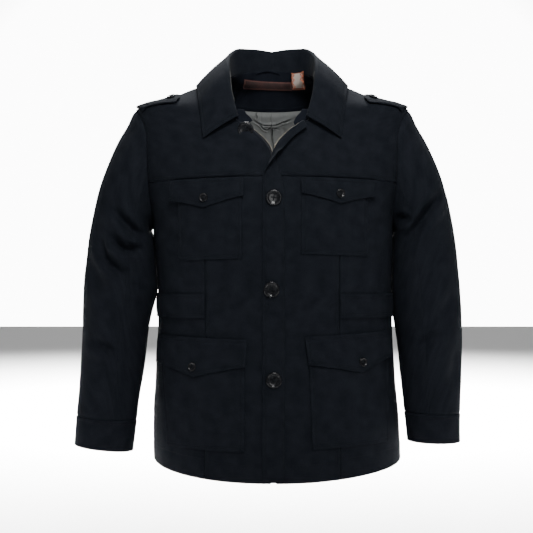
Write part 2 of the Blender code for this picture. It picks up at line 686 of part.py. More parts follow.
def collar_section(station):
    """The cloth from the neck seam, up the stand, over the roll and down the fall to its edge.

    Gives the hidden face, inside the roll, and the face that shows.
    """
    row = read_collar(station)
    roll, edge = Vector(row[:3]), settled_on_torso(Vector(row[3:]), LAYER_GAP + 0.0008)
    place = neckline_place(station)
    seam, normal = on_torso(place), torso_normal(*place)
    step = 0.05
    along = on_torso(neckline_place(min(station + step, 9))) - on_torso(neckline_place(max(station - step, 0)))
    into_neck = normal.cross(along).normalized()
    if into_neck.z < 0:
        into_neck = -into_neck
    foot = seam + into_neck * 0.0014
    up = (roll - foot).normalized()
    away = edge - roll
    away = (away - up * away.dot(up)).normalized()
    thick = COLLAR_CLOTH
    middle = roll - up * (COLLAR_FOLD + thick)
    hidden = [foot, foot + up * 0.0035]
    shown = [foot - away * thick, hidden[1] - away * thick]
    fall = (edge - middle).normalized()
    end = math.atan2(fall.dot(away), fall.dot(up))
    for share in spaced(4):
        way = up * math.sin(end * share) - away * math.cos(end * share)
        hidden.append(middle + way * COLLAR_FOLD)
        shown.append(middle + way * (COLLAR_FOLD + thick))
    start, out = hidden[-1], (shown[-1] - hidden[-1]).normalized()
    for share in (0.33, 0.67, 1.0):
        point = start.lerp(edge, share) + out * COLLAR_BULGE * math.sin(math.pi * share)
        point = clear_of_torso(point, LAYER_GAP + 0.0008)
        hidden.append(point)
        shown.append(point + out * thick)
    return hidden, shown


def make_collar():
    half = [collar_section(9 * s) for s in spaced(COLLAR_COLUMNS // 2)]
    for face in half[-1]:
        for point in face:
            point.x = 0.0
    other = [[[Vector((-p.x, p.y, p.z)) for p in face] for face in section] for section in reversed(half[:-1])]
    sections = half + other
    shell("collar", [section[1] for section in sections], [section[0] for section in sections], "wool")


def zip_place(height, side, aside):
    """A place beside the zip line, aside measured away from the opening."""
    return front_edge_place(height, side, aside)


def placket_rows():
    """Heights down the placket, closer together where its edge turns."""
    straight = [HEM_FRONT + 0.002 + (PLACKET_TURN_LOW - HEM_FRONT) * s for s in spaced(14)][:-1]
    turning = [PLACKET_TURN_LOW + (V_FOOT - PLACKET_TURN_LOW) * s for s in spaced(6)]
    rising = [V_FOOT + (COLLAR_END[1] - 0.006 - V_FOOT) * s for s in spaced(6)][1:]
    return straight + turning + rising


def placket_section(height, inner):
    """The band across, from its stitching to its free edge, which turns out above the closed part."""
    line = on_torso(zip_place(height, 1, 0.0))
    low = on_torso(zip_place(height - 0.002, 1, 0.0))
    high = on_torso(zip_place(height + 0.002, 1, 0.0))
    normal = torso_normal(*zip_place(height, 1, 0.0))
    over = (high - low).normalized().cross(normal).normalized()
    if over.x > 0:
        over = -over
    slant = blend(-0.110, COLLAR_END[1], height)
    over = (over + Vector((0, 0, -0.42)) * slant * (1 if over.z < 0 else -1)).normalized()
    lie = LAYER_GAP + (0.0 if inner else CLOTH)
    points = []
    band = PLACKET_BAND * (1 - 0.55 * blend(PLACKET_TURN_LOW, V_FOOT, height))
    for share in (1.0, 0.5, 0.0):
        points.append(clear_of_torso(line - over * band * share, lie))
    turn = PLACKET_TURN * blend(PLACKET_TURN_LOW, PLACKET_TURN_HIGH, height)
    base = clear_of_torso(line, LAYER_GAP + CLOTH / 2)
    at = base.copy()
    steps = (0.2, 0.4, 0.6, 0.8, 1.0)
    done = 0.0
    pieces = [PLACKET_ROLL * s for s in (0.25, 0.5, 0.75, 1.0)] + [PLACKET_OVER * s for s in (0.7, 1.0)]
    for reach in pieces:
        length = reach - done
        middle = min((done + reach) / 2 / PLACKET_ROLL, 1.0)
        angle = turn * middle
        way = over * math.cos(angle) + normal * math.sin(angle)
        at = at + way * length
        end_angle = turn * min(reach / PLACKET_ROLL, 1.0)
        side_way = normal * math.cos(end_angle) - over * math.sin(end_angle)
        point = at + side_way * (-CLOTH / 2 if inner else CLOTH / 2)
        points.append(point if turn > 0.05 else clear_of_torso(point, lie))
        done = reach
    return points


def make_placket():
    heights = placket_rows()
    shell("placket", *[[placket_section(z, inner) for z in heights] for inner in (False, True)], "wool")


def pocket_places(pocket, rows, columns):
    """A patch pocket between its four corners."""
    grid = []
    for v in spaced(rows):
        inner_x = pocket.low_inner + (pocket.inner - pocket.low_inner) * v
        outer_x = pocket.low_outer + (pocket.outer - pocket.low_outer) * v
        inner_z = pocket.bottom_in + (pocket.top_in - pocket.bottom_in) * v
        outer_z = pocket.bottom_out + (pocket.top_out - pocket.bottom_out) * v
        inner, outer = place_across(inner_x, inner_z), place_across(outer_x, outer_z)
        grid.append([(inner[0] + (outer[0] - inner[0]) * u, inner_z + (outer_z - inner_z) * u) for u in spaced(columns)])
    return grid


def flap_places(flap, columns):
    """A flap whose lower edge runs to a point."""
    width = flap.outer - flap.inner
    before = round(columns * (flap.point_x - flap.inner) / width)
    grid = []
    for v in FLAP_ROWS:
        row = []
        for j in range(columns + 1):
            near, share = (0, j / before) if j <= before else (1, (columns - j) / (columns - before))
            x_top = (flap.inner, flap.outer)[near] + (flap.point_x - (flap.inner, flap.outer)[near]) * share
            x_low = (flap.low_inner, flap.low_outer)[near]
            x_low += (flap.point_x - x_low) * share
            top = flap.top_in + (flap.top_out - flap.top_in) * (x_top - flap.inner) / width
            edge = (flap.low_in, flap.low_out)[near]
            low = edge + (flap.point_z - edge) * share**1.25
            row.append(place_across(x_top + (x_low - x_top) * v, top + (low - top) * v))
        grid.append(row)
    return grid


def make_pockets():
    flap_lift = LAYER_GAP + POCKET_CLOTH + 0.0002
    for side in ("left", "right"):
        for name, pocket, flap, rows in (
            ("chest", CHEST_POCKETS[side], CHEST_FLAPS[side], 5),
            ("lower", LOWER_POCKETS[side], LOWER_FLAPS[side], 6),
        ):
            columns = POCKET_COLUMNS if name == "chest" else POCKET_COLUMNS + 5
            lie = LAYER_GAP if name == "chest" else 2 * LAYER_GAP
            grid = pocket_places(pocket, rows, columns)
            patch(f"{name}_pocket_{side}", grid, out=lie + POCKET_CLOTH, thick=POCKET_CLOTH)
            grid = flap_places(flap, columns)
            lift = lambda i, j: flap_lift if i else 0.0002
            patch(f"{name}_flap_{side}", grid, out=lie + CLOTH, lift=lift)


def make_belts():
    for side, sign in (("left", 1), ("right", -1)):
        start = place_across(sign * (PANEL_SEAM + 0.0005), BELT_TOP)[0]
        angles = [start + (sign * BELT_BACK_ANGLE - start) * s for s in spaced(BELT_COLUMNS)]
        places = [[(angle, BELT_TOP - BELT_HEIGHT * v) for angle in angles] for v in spaced(2)]
        patch(f"belt_{side}", places, out=LAYER_GAP + CLOTH + 0.0003)


def top_of_shoulder(x, y):
    """The point of the torso above (x, y)."""
    low, high = -0.075, 0.03
    for _ in range(40):
        middle = (low + high) / 2
        if outside_level(x, y, middle) < 0:
            low = middle
        else:
            high = middle
    return Vector((x, y, low))


def outside_level(x, y, z):
    half_width, front, back, roundness, _ = read_torso(z)
    depth = front if y < 0 else back
    return (abs(x) / half_width) ** roundness + (abs(y) / depth) ** roundness - 1


def epaulet_point(share, across, out):
    """A point above the strap's line, share from the sleeve to its point and across from -1 to 1."""
    narrowing = 1 - 0.12 * share if share < 0.9 else 0.35
    y = EPAULET_MIDDLE[0] + (EPAULET_MIDDLE[1] - EPAULET_MIDDLE[0]) * share
    y += EPAULET_WIDTH / 2 * across * narrowing
    start_y = EPAULET_MIDDLE[0] + EPAULET_WIDTH / 2 * across
    step = math.asin(-start_y / ARMHOLE_HALF_DEPTH) * ARMHOLE_STEPS / (2 * math.pi)
    start = on_torso(armhole_place(step)).x - EPAULET_SETBACK
    return clear_of_torso(top_of_shoulder(start + (EPAULET_TIP - start) * share, y), out)


def make_epaulet(side):
    faces = []
    for out in (EPAULET_LIE + CLOTH, EPAULET_LIE):
        faces.append([[epaulet_point(share, across, out) for across in np.linspace(-1, 1, 6)] for share in spaced(7)])
    shell(f"epaulet_{side}", *(flipped(face, side) for face in faces), "wool")


def make_button(name, point, normal, radius, thick):
    """A sewn button with a raised rim, turned from its profile."""
    profile = (
        (0.0, 0.0),
        (0.80 * radius, 0.0),
        (radius, 0.30 * thick),
        (radius, 0.70 * thick),
        (0.90 * radius, thick),
        (0.72 * radius, 0.80 * thick),
        (0.0, 0.72 * thick),
    )
    sides = 16 if radius > 0.01 else 12
    bm = bmesh.new()
    foot, tip = bm.verts.new((0, 0, profile[0][1])), bm.verts.new((0, 0, profile[-1][1]))
    rings = []
    for r, z in profile[1:-1]:
        turns = [2 * math.pi * k / sides for k in range(sides)]
        rings.append([bm.verts.new((r * math.cos(t), r * math.sin(t), z)) for t in turns])
    for k in range(sides):
        n = (k + 1) % sides
        bm.faces.new((foot, rings[0][n], rings[0][k]))
        for low, high in zip(rings, rings[1:]):
            bm.faces.new((low[k], low[n], high[n], high[k]))
        bm.faces.new((rings[-1][k], rings[-1][n], tip))
    bmesh.ops.recalc_face_normals(bm, faces=bm.faces)
    made = finished(name, bm, "button")
    made.location = point
    made.rotation_mode = "QUATERNION"
    made.rotation_quaternion = normal.to_track_quat("Z", "Y")
    return made


def button_on(name, place, out, radius, thick):
    """A button that lies on cloth whose outer face is out from the torso."""
    normal = torso_normal(*place)
    sag = radius**2 / (2 * 0.16)  # the cloth curves away under a flat button
    make_button(name, on_torso(place, out + SEAM_GAP + sag * 0.2), normal, radius, thick)


def make_buttons():
    band = LAYER_GAP + CLOTH
    for number, (x, z) in enumerate(zip(FRONT_BUTTON_X, FRONT_BUTTON_HEIGHTS), 2):
        button_on(f"button_front_{number}", place_across(x, z), band, FRONT_BUTTON, BUTTON_THICK)
    button_on("button_front_1", place_across(*TOP_BUTTON), 0.0, FRONT_BUTTON, BUTTON_THICK)
    flap_out = 2 * LAYER_GAP + CLOTH + POCKET_CLOTH + 0.0002
    for side in ("left", "right"):
        for name, flap, up in (("chest", CHEST_FLAPS[side], 0.0175), ("lower", LOWER_FLAPS[side], 0.0180)):
            place = place_across(flap.point_x, flap.point_z + up)
            out = flap_out + (0 if name == "chest" else LAYER_GAP)
            button_on(f"button_{name}_{side}", place, out, SMALL_BUTTON, SMALL_BUTTON_THICK)
        point = epaulet_point(0.80, 0.0, EPAULET_LIE + CLOTH + 2 * SEAM_GAP)
        _, way = outside_torso(point)
        sign = 1 if side == "left" else -1
        point, way = Vector((point.x * sign, point.y, point.z)), Vector((way.x * sign, way.y, way.z))
        make_button(f"button_epaulet_{side}", point, way, SMALL_BUTTON, SMALL_BUTTON_THICK)


def make_zip():
    """Two tapes with their teeth, inside the front edges. They part above the V's foot."""
    straight = [HEM_FRONT + 0.012 + (V_FOOT - HEM_FRONT - 0.012) * s for s in spaced(12)]
    rising = [V_FOOT + (COLLAR_END[1] - 0.003 - V_FOOT) * s for s in spaced(6)][1:]
    for name, side in (("zip_left", 1), ("zip_right", -1)):
        rows = [[zip_place(z, side, aside) for aside in (0.0003, 0.0060, 0.0120)] for z in straight + rising]
        patch(name, rows, finish="zip_metal", out=-CLOTH - 2 * LAYER_GAP, thick=0.0014)


def beyond_shoulder(place, lower):
    """The place, kept a little behind the shoulder seam and moved in height."""
    shy = math.radians(97)
    return (min(max(place[0], shy), 2 * math.pi - shy), place[1] + lower)


def facing_place(share):
    """The lower edge of the neck facing, from the left shoulder (0) round the back to the right (1)."""
    dip = math.sin(math.pi * share) ** 0.8
    return beyond_shoulder(back_place(0.100 * math.cos(math.pi * share), 0.006 + (FACING_FOOT - 0.006) * dip), 0.0)


def make_neck():
    """What shows inside the back of the neck: facing, lining and two labels."""
    depth = CLOTH + 0.0034
    low = [facing_place(u) for u in spaced(BACK_COLUMNS)]
    top = [beyond_shoulder(neck_back_place(u), -0.001) for u in spaced(BACK_COLUMNS)]
    ends = [[tuple(np.array(a) + (np.array(b) - a) * v) for v in spaced(5)] for a, b in ((low[0], top[0]), (low[-1], top[-1]))]
    places = coons(low, top, *ends)
    patch("neck_facing", places, out=-depth, thick=LINING_CLOTH)
    edge = [math.radians(97 + 30 * blend(UNDERARM - 0.02, ARMHOLE_MIDDLE, z)) for z in LINING_HEIGHTS]
    left = list(zip(edge, LINING_HEIGHTS))
    left += [(math.radians(angle), z) for angle, z in ((120, -0.052), (112, -0.036), (107, -0.018))]
    top = [beyond_shoulder(facing_place(u), -0.0006) for u in spaced(BACK_COLUMNS)]
    left.append(top[0])
    right = [(2 * math.pi - angle, z) for angle, z in left]
    bottom = [(left[0][0] + (right[0][0] - left[0][0]) * u, LINING_HEIGHTS[0]) for u in spaced(BACK_COLUMNS)]
    rows = coons(bottom, top, left, right)
    patch("lining_back", rows, finish="lining", out=-CLOTH - LINING_GAP, thick=LINING_CLOTH)
    for name, (left, right, foot, top), lie in (("neck_label", LABEL, 0.0021), ("size_label", SIZE_LABEL, 0.0018)):
        rows = []
        for v in spaced(2):
            z = foot + (top - foot) * v
            rows.append([back_place(left + (right - left) * u, z) for u in spaced(4)])
        patch(name, rows, finish="label" if name == "neck_label" else "size_label", out=-depth - LINING_CLOTH - lie, thick=0.0006)


def back_place(x, height):
    """The place on the back of the torso that is x from the middle."""
    angle = place_across(x, height)[0]
    return (math.pi - angle, height)


def main():
    for old in list(bpy.data.objects):
        bpy.data.objects.remove(old)
    make_body()
    for side in ("left", "right"):
        make_sleeve(side)
        make_epaulet(side)
    make_collar()
    make_placket()
    make_pockets()
    make_belts()
    make_buttons()
    make_zip()
    make_neck()


main()
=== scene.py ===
import math

import bmesh
import bpy
import numpy as np
from mathutils import Matrix, Vector, noise


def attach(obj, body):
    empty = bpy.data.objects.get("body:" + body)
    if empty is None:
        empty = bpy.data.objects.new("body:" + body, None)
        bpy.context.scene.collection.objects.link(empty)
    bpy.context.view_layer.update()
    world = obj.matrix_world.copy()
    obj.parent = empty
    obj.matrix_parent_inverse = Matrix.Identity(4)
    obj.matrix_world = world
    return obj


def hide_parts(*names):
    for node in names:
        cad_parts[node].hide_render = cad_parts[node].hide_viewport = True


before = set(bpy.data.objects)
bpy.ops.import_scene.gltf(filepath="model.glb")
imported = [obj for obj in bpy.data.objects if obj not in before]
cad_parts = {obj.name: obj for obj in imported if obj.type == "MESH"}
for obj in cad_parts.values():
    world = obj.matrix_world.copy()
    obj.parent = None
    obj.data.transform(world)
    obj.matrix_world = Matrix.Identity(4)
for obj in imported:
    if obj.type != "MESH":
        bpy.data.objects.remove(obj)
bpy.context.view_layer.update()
print("frame loaded")

# The coat hangs in the air as a wearer would fill it. Metres, +Z up, its front faces -Y,
# and +X is the wearer's left. A place on the torso is (angle, height): angle 0 is the centre
# front, 90 degrees the wearer's left side and 180 the centre back.

cloth = {
    "thick": 0.0025,
    "collarThick": 0.0030,
    "pocketThick": 0.0020,
    "liningThick": 0.0010,
    "seamGap": 0.0003,
    "layerGap": 0.0006,
    "stitchFromEdge": 0.0063,
    # where a grid's first lines lie beside an edge: its rim, then its top stitching
    "edgeMarks": (0, 0.0005, 0.0012, 0.0025, 0.0045, 0.0057, 0.0063, 0.0069, 0.0085, 0.012),
    # distance between the lines of a small piece's grid
    "fineStep": 0.0036,
}

body = {
    # height, half width, depth in front, depth behind, roundness, sway to the wearer's left
    "sections": [
        (-0.720, 0.2260, 0.160, 0.150, 2.40, 0.0105),
        (-0.660, 0.2262, 0.159, 0.149, 2.40, 0.0084),
        (-0.600, 0.2250, 0.156, 0.146, 2.40, 0.0074),
        (-0.540, 0.2205, 0.151, 0.142, 2.40, 0.0056),
        (-0.480, 0.2172, 0.145, 0.136, 2.40, 0.0056),
        (-0.430, 0.2150, 0.142, 0.133, 2.40, 0.0056),
        (-0.370, 0.2152, 0.145, 0.135, 2.40, 0.0050),
        (-0.310, 0.2185, 0.150, 0.139, 2.45, 0.0036),
        (-0.264, 0.2200, 0.151, 0.142, 2.50, 0.0018),
        (-0.230, 0.2245, 0.149, 0.143, 2.50, 0.0008),
        (-0.190, 0.2350, 0.144, 0.142, 2.50, 0.0),
        (-0.140, 0.2435, 0.134, 0.137, 2.40, 0.0),
        (-0.090, 0.2490, 0.118, 0.126, 2.15, 0.0),
        (-0.060, 0.2520, 0.107, 0.114, 2.00, 0.0),
        (-0.047, 0.2525, 0.101, 0.107, 1.90, 0.0),
        (-0.040, 0.2410, 0.098, 0.104, 1.85, 0.0),
        (-0.034, 0.2220, 0.095, 0.102, 1.85, 0.0),
        (-0.028, 0.1990, 0.093, 0.100, 1.85, 0.0),
        (-0.018, 0.1720, 0.089, 0.097, 1.85, 0.0),
        (-0.006, 0.1440, 0.085, 0.093, 1.90, 0.0),
        (0.004, 0.1150, 0.080, 0.089, 1.90, 0.0),
        (0.011, 0.0920, 0.076, 0.085, 2.00, 0.0),
        (0.0155, 0.0790, 0.073, 0.083, 2.00, 0.0),
        (0.026, 0.0745, 0.070, 0.082, 2.00, 0.0),
        (0.040, 0.0710, 0.068, 0.082, 2.00, 0.0),
    ],
    "hemFront": -0.710,
    "hemSide": -0.684,
    "hemBack": -0.700,
    "underarm": -0.264,
    "shoulderPoint": -0.047,
    "neckSide": 0.0155,
    "neckBack": 0.036,
    "yokeSeam": -0.176,
    "vFoot": -0.134,
    "zipLine": 0.002,
    "edgeSetback": 0.0045,
    "panelSeam": 0.118,
    "collarEnd": (0.063, -0.074),
    "openBulge": 0.0100,
    "neckFront": [
        (0.0790, 0.0155), (0.0790, 0.0090), (0.0785, -0.0020),
        (0.0755, -0.0240), (0.0700, -0.0500), (0.063, -0.074),
    ],
    "armholeDepth": 0.064,
    "step": 0.0048,
    "backStep": 0.0062,
}

armholeMiddle = (body["underarm"] + body["shoulderPoint"]) / 2
armholeHalf = (body["shoulderPoint"] - body["underarm"]) / 2
armholeTurn = 2 * math.pi / 24  # an armhole has 24 steps
probe = {"turn": 1e-4, "reach": 2e-4, "passes": 6}


def smoothReader(rows):
    # reads a table's columns at any key, smooth and without overshoot
    table = np.array(rows, float)
    key, values = table[:, 0], table[:, 1:]
    steps = np.diff(key)
    slopes = np.diff(values, axis=0) / steps[:, None]
    tangents = np.zeros_like(values)
    tangents[0], tangents[-1] = slopes[0], slopes[-1]
    before, after = slopes[:-1], slopes[1:]
    rising = before * after > 0
    near = (2 * steps[1:] + steps[:-1])[:, None]
    far = (steps[1:] + 2 * steps[:-1])[:, None]
    spread = near / np.where(rising, before, 1) + far / np.where(rising, after, 1)
    tangents[1:-1] = np.where(rising, (near + far) / np.where(rising, spread, 1), 0)

    def read(at):
        at = np.clip(np.asarray(at, float), key[0], key[-1])
        i = np.clip(np.searchsorted(key, at, side="right") - 1, 0, len(steps) - 1)
        h = steps[i][..., None]
        s = ((at - key[i]) / steps[i])[..., None]
        return (
            (2 * s**3 - 3 * s**2 + 1) * values[i]
            + (s**3 - 2 * s**2 + s) * h * tangents[i]
            + (3 * s**2 - 2 * s**3) * values[i + 1]
            + (s**3 - s**2) * h * tangents[i + 1]
        )

    return read


readTorso = smoothReader(body["sections"])


def blend(low, high, at):
    # rises smoothly from 0 at low to 1 at high
    s = np.clip((np.asarray(at, float) - low) / (high - low), 0, 1)
    return s * s * (3 - 2 * s)


def unit(vectors):
    return vectors / np.maximum(np.linalg.norm(vectors, axis=-1, keepdims=True), 1e-12)


def torsoPoint(angle, height):
    angle, height = np.broadcast_arrays(np.asarray(angle, float), np.asarray(height, float))
    halfWidth, front, back, roundness, sway = np.moveaxis(readTorso(height), -1, 0)
    side, ahead = np.sin(angle), np.cos(angle)
    reach = (abs(side) ** roundness + abs(ahead) ** roundness) ** (-1 / roundness)
    depth = np.where(ahead > 0, front, back)
    return np.stack([sway + halfWidth * side * reach, -depth * ahead * reach, height], -1)


def torsoNormal(angle, height):
    step = probe["turn"]
    roundIt = torsoPoint(np.add(angle, step), height) - torsoPoint(np.subtract(angle, step), height)
    up = torsoPoint(angle, np.add(height, step)) - torsoPoint(angle, np.subtract(height, step))
    return unit(np.cross(roundIt, up))


def placeAcross(x, height):
    # the angle on the front where the torso is x from the middle
    halfWidth, _, _, roundness, sway = np.moveaxis(readTorso(height), -1, 0)
    share = np.minimum(abs(x - sway) / halfWidth, 1.0)
    angle = np.arctan2(share, (1 - share**roundness) ** (1 / roundness))
    return np.copysign(angle, x - sway)


def placeDeep(y, height):
    # the angle at the wearer's left where the torso is y deep
    _, front, back, roundness, _ = np.moveaxis(readTorso(height), -1, 0)
    share = np.minimum(abs(y) / np.where(y < 0, front, back), 1.0)
    angle = np.arctan2((1 - share**roundness) ** (1 / roundness), share)
    return np.where(y < 0, angle, math.pi - angle)


def torsoLevel(point):
    # 0 on the torso, more outside it and less inside
    halfWidth, front, back, roundness, sway = np.moveaxis(readTorso(point[..., 2]), -1, 0)
    depth = np.where(point[..., 1] < 0, front, back)
    across, deep = abs(point[..., 0] - sway) / halfWidth, abs(point[..., 1]) / depth
    return (across**roundness + deep**roundness) ** (1 / roundness) - 1


def onTorso(places, out=0.0):
    angle, height = places[..., 0], places[..., 1]
    point = torsoPoint(angle, height)
    if np.any(out):
        point = point + torsoNormal(angle, height) * np.asarray(out)[..., None]
    return point


def outsideTorso(point):
    # how far a point stands outside the torso, and the way straight out of it
    rises = [torsoLevel(point + step) - torsoLevel(point - step) for step in np.eye(3) * probe["reach"]]
    slope = np.stack(rises, -1) / (2 * probe["reach"])
    steep = np.linalg.norm(slope, axis=-1)
    return torsoLevel(point) / steep, slope / steep[..., None]


def clearOfTorso(point, distance, settle=False):
    # moves points out to a distance from the torso, or settles them at it
    for _ in range(probe["passes"]):
        gap, way = outsideTorso(point)
        move = distance - gap
        point = point + way * (move if settle else np.maximum(move, 0))[..., None]
    return point


def hemHeight(angle):
    turn = np.sin(angle) ** 2
    middle = np.where(np.cos(angle) > 0, body["hemFront"], body["hemBack"])
    return middle + (body["hemSide"] - middle) * turn


def pair(angle, height):
    return np.stack(np.broadcast_arrays(np.asarray(angle, float), np.asarray(height, float)), -1)


def armholePlace(step):
    # step 0 is the shoulder point, then forwards, 12 is the underarm
    turn = armholeTurn * np.asarray(step, float)
    height = armholeMiddle + armholeHalf * np.cos(turn)
    return pair(placeDeep(-body["armholeDepth"] * np.sin(turn), height), height)


ridgeHeights = np.linspace(body["shoulderPoint"], body["neckSide"], 400)
ridgeWidths = readTorso(ridgeHeights)[:, 0]


def shoulderPlace(share):
    neck = body["neckFront"][0][0]
    x = neck + (readTorso(body["shoulderPoint"])[0] - neck) * np.asarray(share, float)
    return pair(math.pi / 2, np.interp(x, ridgeWidths[::-1], ridgeHeights[::-1]))


def neckBackPlace(share):
    share = np.asarray(share, float)
    rise = (body["neckBack"] - body["neckSide"]) * np.sin(math.pi * share)
    return pair(math.pi / 2 + math.pi * share, body["neckSide"] + rise)


def frontEdgePlace(height, side, setback):
    # a front's edge: straight beside the zip, then along the V of the opening
    endX, endZ = body["collarEnd"]
    openBy = np.maximum(0.0, height - body["vFoot"])
    slope = (endX - body["edgeSetback"]) / (endZ - body["vFoot"])
    inwards = body["openBulge"] * np.sin(math.pi * np.minimum(1.0, openBy / (endZ - body["vFoot"])))
    middle = body["zipLine"] * (1 - blend(body["vFoot"], endZ, height))
    x = middle + side * (setback + slope * openBy - inwards)
    return pair(placeAcross(x, height), height)


def joined(*parts):
    # one edge from several curves, each (curve, share of the edge)
    total = sum(weight for _, weight in parts)

    def edge(at):
        at = np.asarray(at, float)
        places = np.zeros(at.shape + (2,))
        start = 0.0
        for curve, weight in parts:
            share = weight / total
            here = (at >= start - 1e-9) & (at <= start + share + 1e-9)
            places[here] = curve(np.clip((at[here] - start) / share, 0, 1))
            start += share
        return places

    return edge


def throughPlaces(places):
    places = np.array(places, float)
    marks = np.linspace(0, 1, len(places))
    return lambda at: pair(np.interp(at, marks, places[:, 0]), np.interp(at, marks, places[:, 1]))


def fillIn(bottom, top, left, right, u, v):
    # places in between four edges; left and right run upwards
    b, t, l, r = bottom(u)[None], top(u)[None], left(v)[:, None], right(v)[:, None]
    u, v = u[None, :, None], v[:, None, None]
    corners = (1 - v) * ((1 - u) * b[:, :1] + u * b[:, -1:]) + v * ((1 - u) * t[:, :1] + u * t[:, -1:])
    return (1 - v) * b + v * t + (1 - u) * l + u * r - corners


def cuts(length, step, breaks=()):
    # shares along a piece, close together at its edges and at its stitching
    edge = np.array(cloth["edgeMarks"])
    inner = length - 2 * edge[-1]
    middle = edge[-1] + inner * np.linspace(0, 1, max(2, round(inner / step)) + 1)[1:-1]
    marks = np.concatenate([edge, middle, (length - edge)[::-1]]) / length
    for mark in breaks:
        marks[np.argmin(abs(marks - mark))] = mark
    return marks


def runningLength(points, axis=0):
    # the way covered along a line, or along each row or column of a grid
    steps = np.linalg.norm(np.diff(points, axis=axis), axis=-1)
    start = np.zeros_like(np.take(steps, [0], axis=axis))
    return np.concatenate([start, np.cumsum(steps, axis=axis)], axis=axis)


def edgeDistances(points):
    across, along = runningLength(points, 1), runningLength(points, 0)
    return {"left": across, "right": across[:, -1:] - across, "bottom": along, "top": along[-1:] - along}


crease = {
    # how fast a crease fades in from its ends, and how little is left there
    "fade": 3.2,
    "least": 0.12,
    # the low ridge beside the trough: its height, and its place and breadth in trough widths
    "ridge": 0.42,
    "ridgeAt": 1.9,
    "ridgeBreadth": 0.9,
}


def creaseDepth(creases, x, z):
    # soft troughs with low ridges beside them; each crease is (points, width, depth)
    total = np.zeros(np.shape(x))
    for points, width, depth in creases:
        nearest = np.full(np.shape(x), 1e9)
        strength = np.zeros(np.shape(x))
        done = 0.0
        legs = list(zip(points, points[1:]))
        full = sum(math.dist(a, b) for a, b in legs)
        for (x1, z1), (x2, z2) in legs:
            dx, dz = x2 - x1, z2 - z1
            leg = math.hypot(dx, dz)
            share = np.clip(((x - x1) * dx + (z - z1) * dz) / leg**2, 0, 1)
            away = np.hypot(x - x1 - share * dx, z - z1 - share * dz)
            at = (done + share * leg) / full
            fade = np.clip(np.minimum(at, 1 - at) * crease["fade"], crease["least"], 1)
            closer = away < nearest
            nearest = np.where(closer, away, nearest)
            strength = np.where(closer, fade, strength)
            done += leg
        d = nearest / width
        ridge = crease["ridge"] * np.exp(-((d - crease["ridgeAt"]) ** 2) / crease["ridgeBreadth"])
        total += depth * strength * (np.exp(-(d**2)) - ridge)
    return total


def softNoise(points, size, seed, amount):
    flat = points.reshape(-1, 3)
    values = [noise.noise(Vector((p[0] / size + seed, p[1] / size, p[2] / size))) for p in flat]
    return np.array(values).reshape(points.shape[:-1]) * amount


# creases of the body, seen from the front and from behind: points (x, z), width, depth
bodyCreases = {
    "front": [
        ([(-0.205, -0.250), (-0.178, -0.285), (-0.150, -0.300)], 0.010, 0.0022),
        ([(0.205, -0.245), (0.176, -0.275), (0.150, -0.283)], 0.010, 0.0024),
        ([(-0.192, -0.350), (-0.160, -0.356), (-0.122, -0.352)], 0.008, 0.0016),
        ([(0.190, -0.342), (0.160, -0.352), (0.124, -0.349)], 0.008, 0.0016),
        ([(-0.195, -0.444), (-0.160, -0.437), (-0.118, -0.441)], 0.008, 0.0018),
        ([(0.194, -0.440), (0.150, -0.434), (0.120, -0.438)], 0.008, 0.0018),
        ([(-0.020, -0.155), (-0.060, -0.140), (-0.110, -0.150)], 0.016, 0.0016),
        ([(0.055, -0.100), (0.045, -0.125), (0.022, -0.152)], 0.010, 0.0018),
        ([(0.040, -0.400), (0.085, -0.412), (0.112, -0.430)], 0.012, 0.0012),
        ([(-0.032, -0.420), (-0.080, -0.410), (-0.110, -0.424)], 0.012, 0.0012),
        ([(-0.030, -0.690), (-0.070, -0.672), (-0.120, -0.676)], 0.012, 0.0012),
        ([(0.035, -0.686), (0.090, -0.670), (0.140, -0.672)], 0.012, 0.0012),
    ],
    "back": [
        ([(-0.215, -0.215), (-0.150, -0.255), (-0.080, -0.265)], 0.016, 0.0040),
        ([(0.215, -0.210), (0.160, -0.250), (0.070, -0.268)], 0.016, 0.0042),
        ([(-0.060, -0.045), (0.0, -0.058), (0.055, -0.047)], 0.012, 0.0025),
        ([(-0.190, -0.350), (-0.120, -0.385), (-0.040, -0.395)], 0.018, 0.0034),
        ([(0.190, -0.360), (0.130, -0.378), (0.050, -0.402)], 0.018, 0.0030),
        ([(-0.120, -0.455), (-0.050, -0.440), (0.030, -0.447)], 0.018, 0.0030),
        ([(0.060, -0.520), (0.075, -0.600), (0.070, -0.690)], 0.020, 0.0036),
        ([(-0.085, -0.540), (-0.090, -0.610), (-0.080, -0.690)], 0.020, 0.0032),
        ([(0.165, -0.480), (0.170, -0.560), (0.160, -0.640)], 0.018, 0.0028),
        ([(-0.165, -0.500), (-0.172, -0.570), (-0.166, -0.650)], 0.018, 0.0026),
    ],
}


drape = {
    "creases": 1.35,
    # front creases give way to those of the back between these depths
    "turnsBack": (-0.02, 0.02),
    # size, seed and height of the soft unevenness
    "broad": (0.085, 3.0, 0.0011),
    "fine": (0.032, 9.0, 0.0004),
    # puckers along the hem, stretched upwards, and where they fade in
    "puckers": (0.010, 21.0, 0.0008),
    "puckerStretch": (1, 1, 0.35),
    "puckerHeights": (-0.664, -0.684),
}


def bodyLift(points):
    # how far the cloth stands off the torso's plain form
    x, y, z = np.moveaxis(points, -1, 0)
    front, back = (creaseDepth(bodyCreases[face], x, z) for face in ("front", "back"))
    share = blend(*drape["turnsBack"], y)
    soft = softNoise(points, *drape["broad"]) + softNoise(points, *drape["fine"])
    puckers = softNoise(points * np.array(drape["puckerStretch"]), *drape["puckers"])
    puckers = puckers * blend(*drape["puckerHeights"], z)
    return -drape["creases"] * (front * (1 - share) + back * share) + soft + puckers


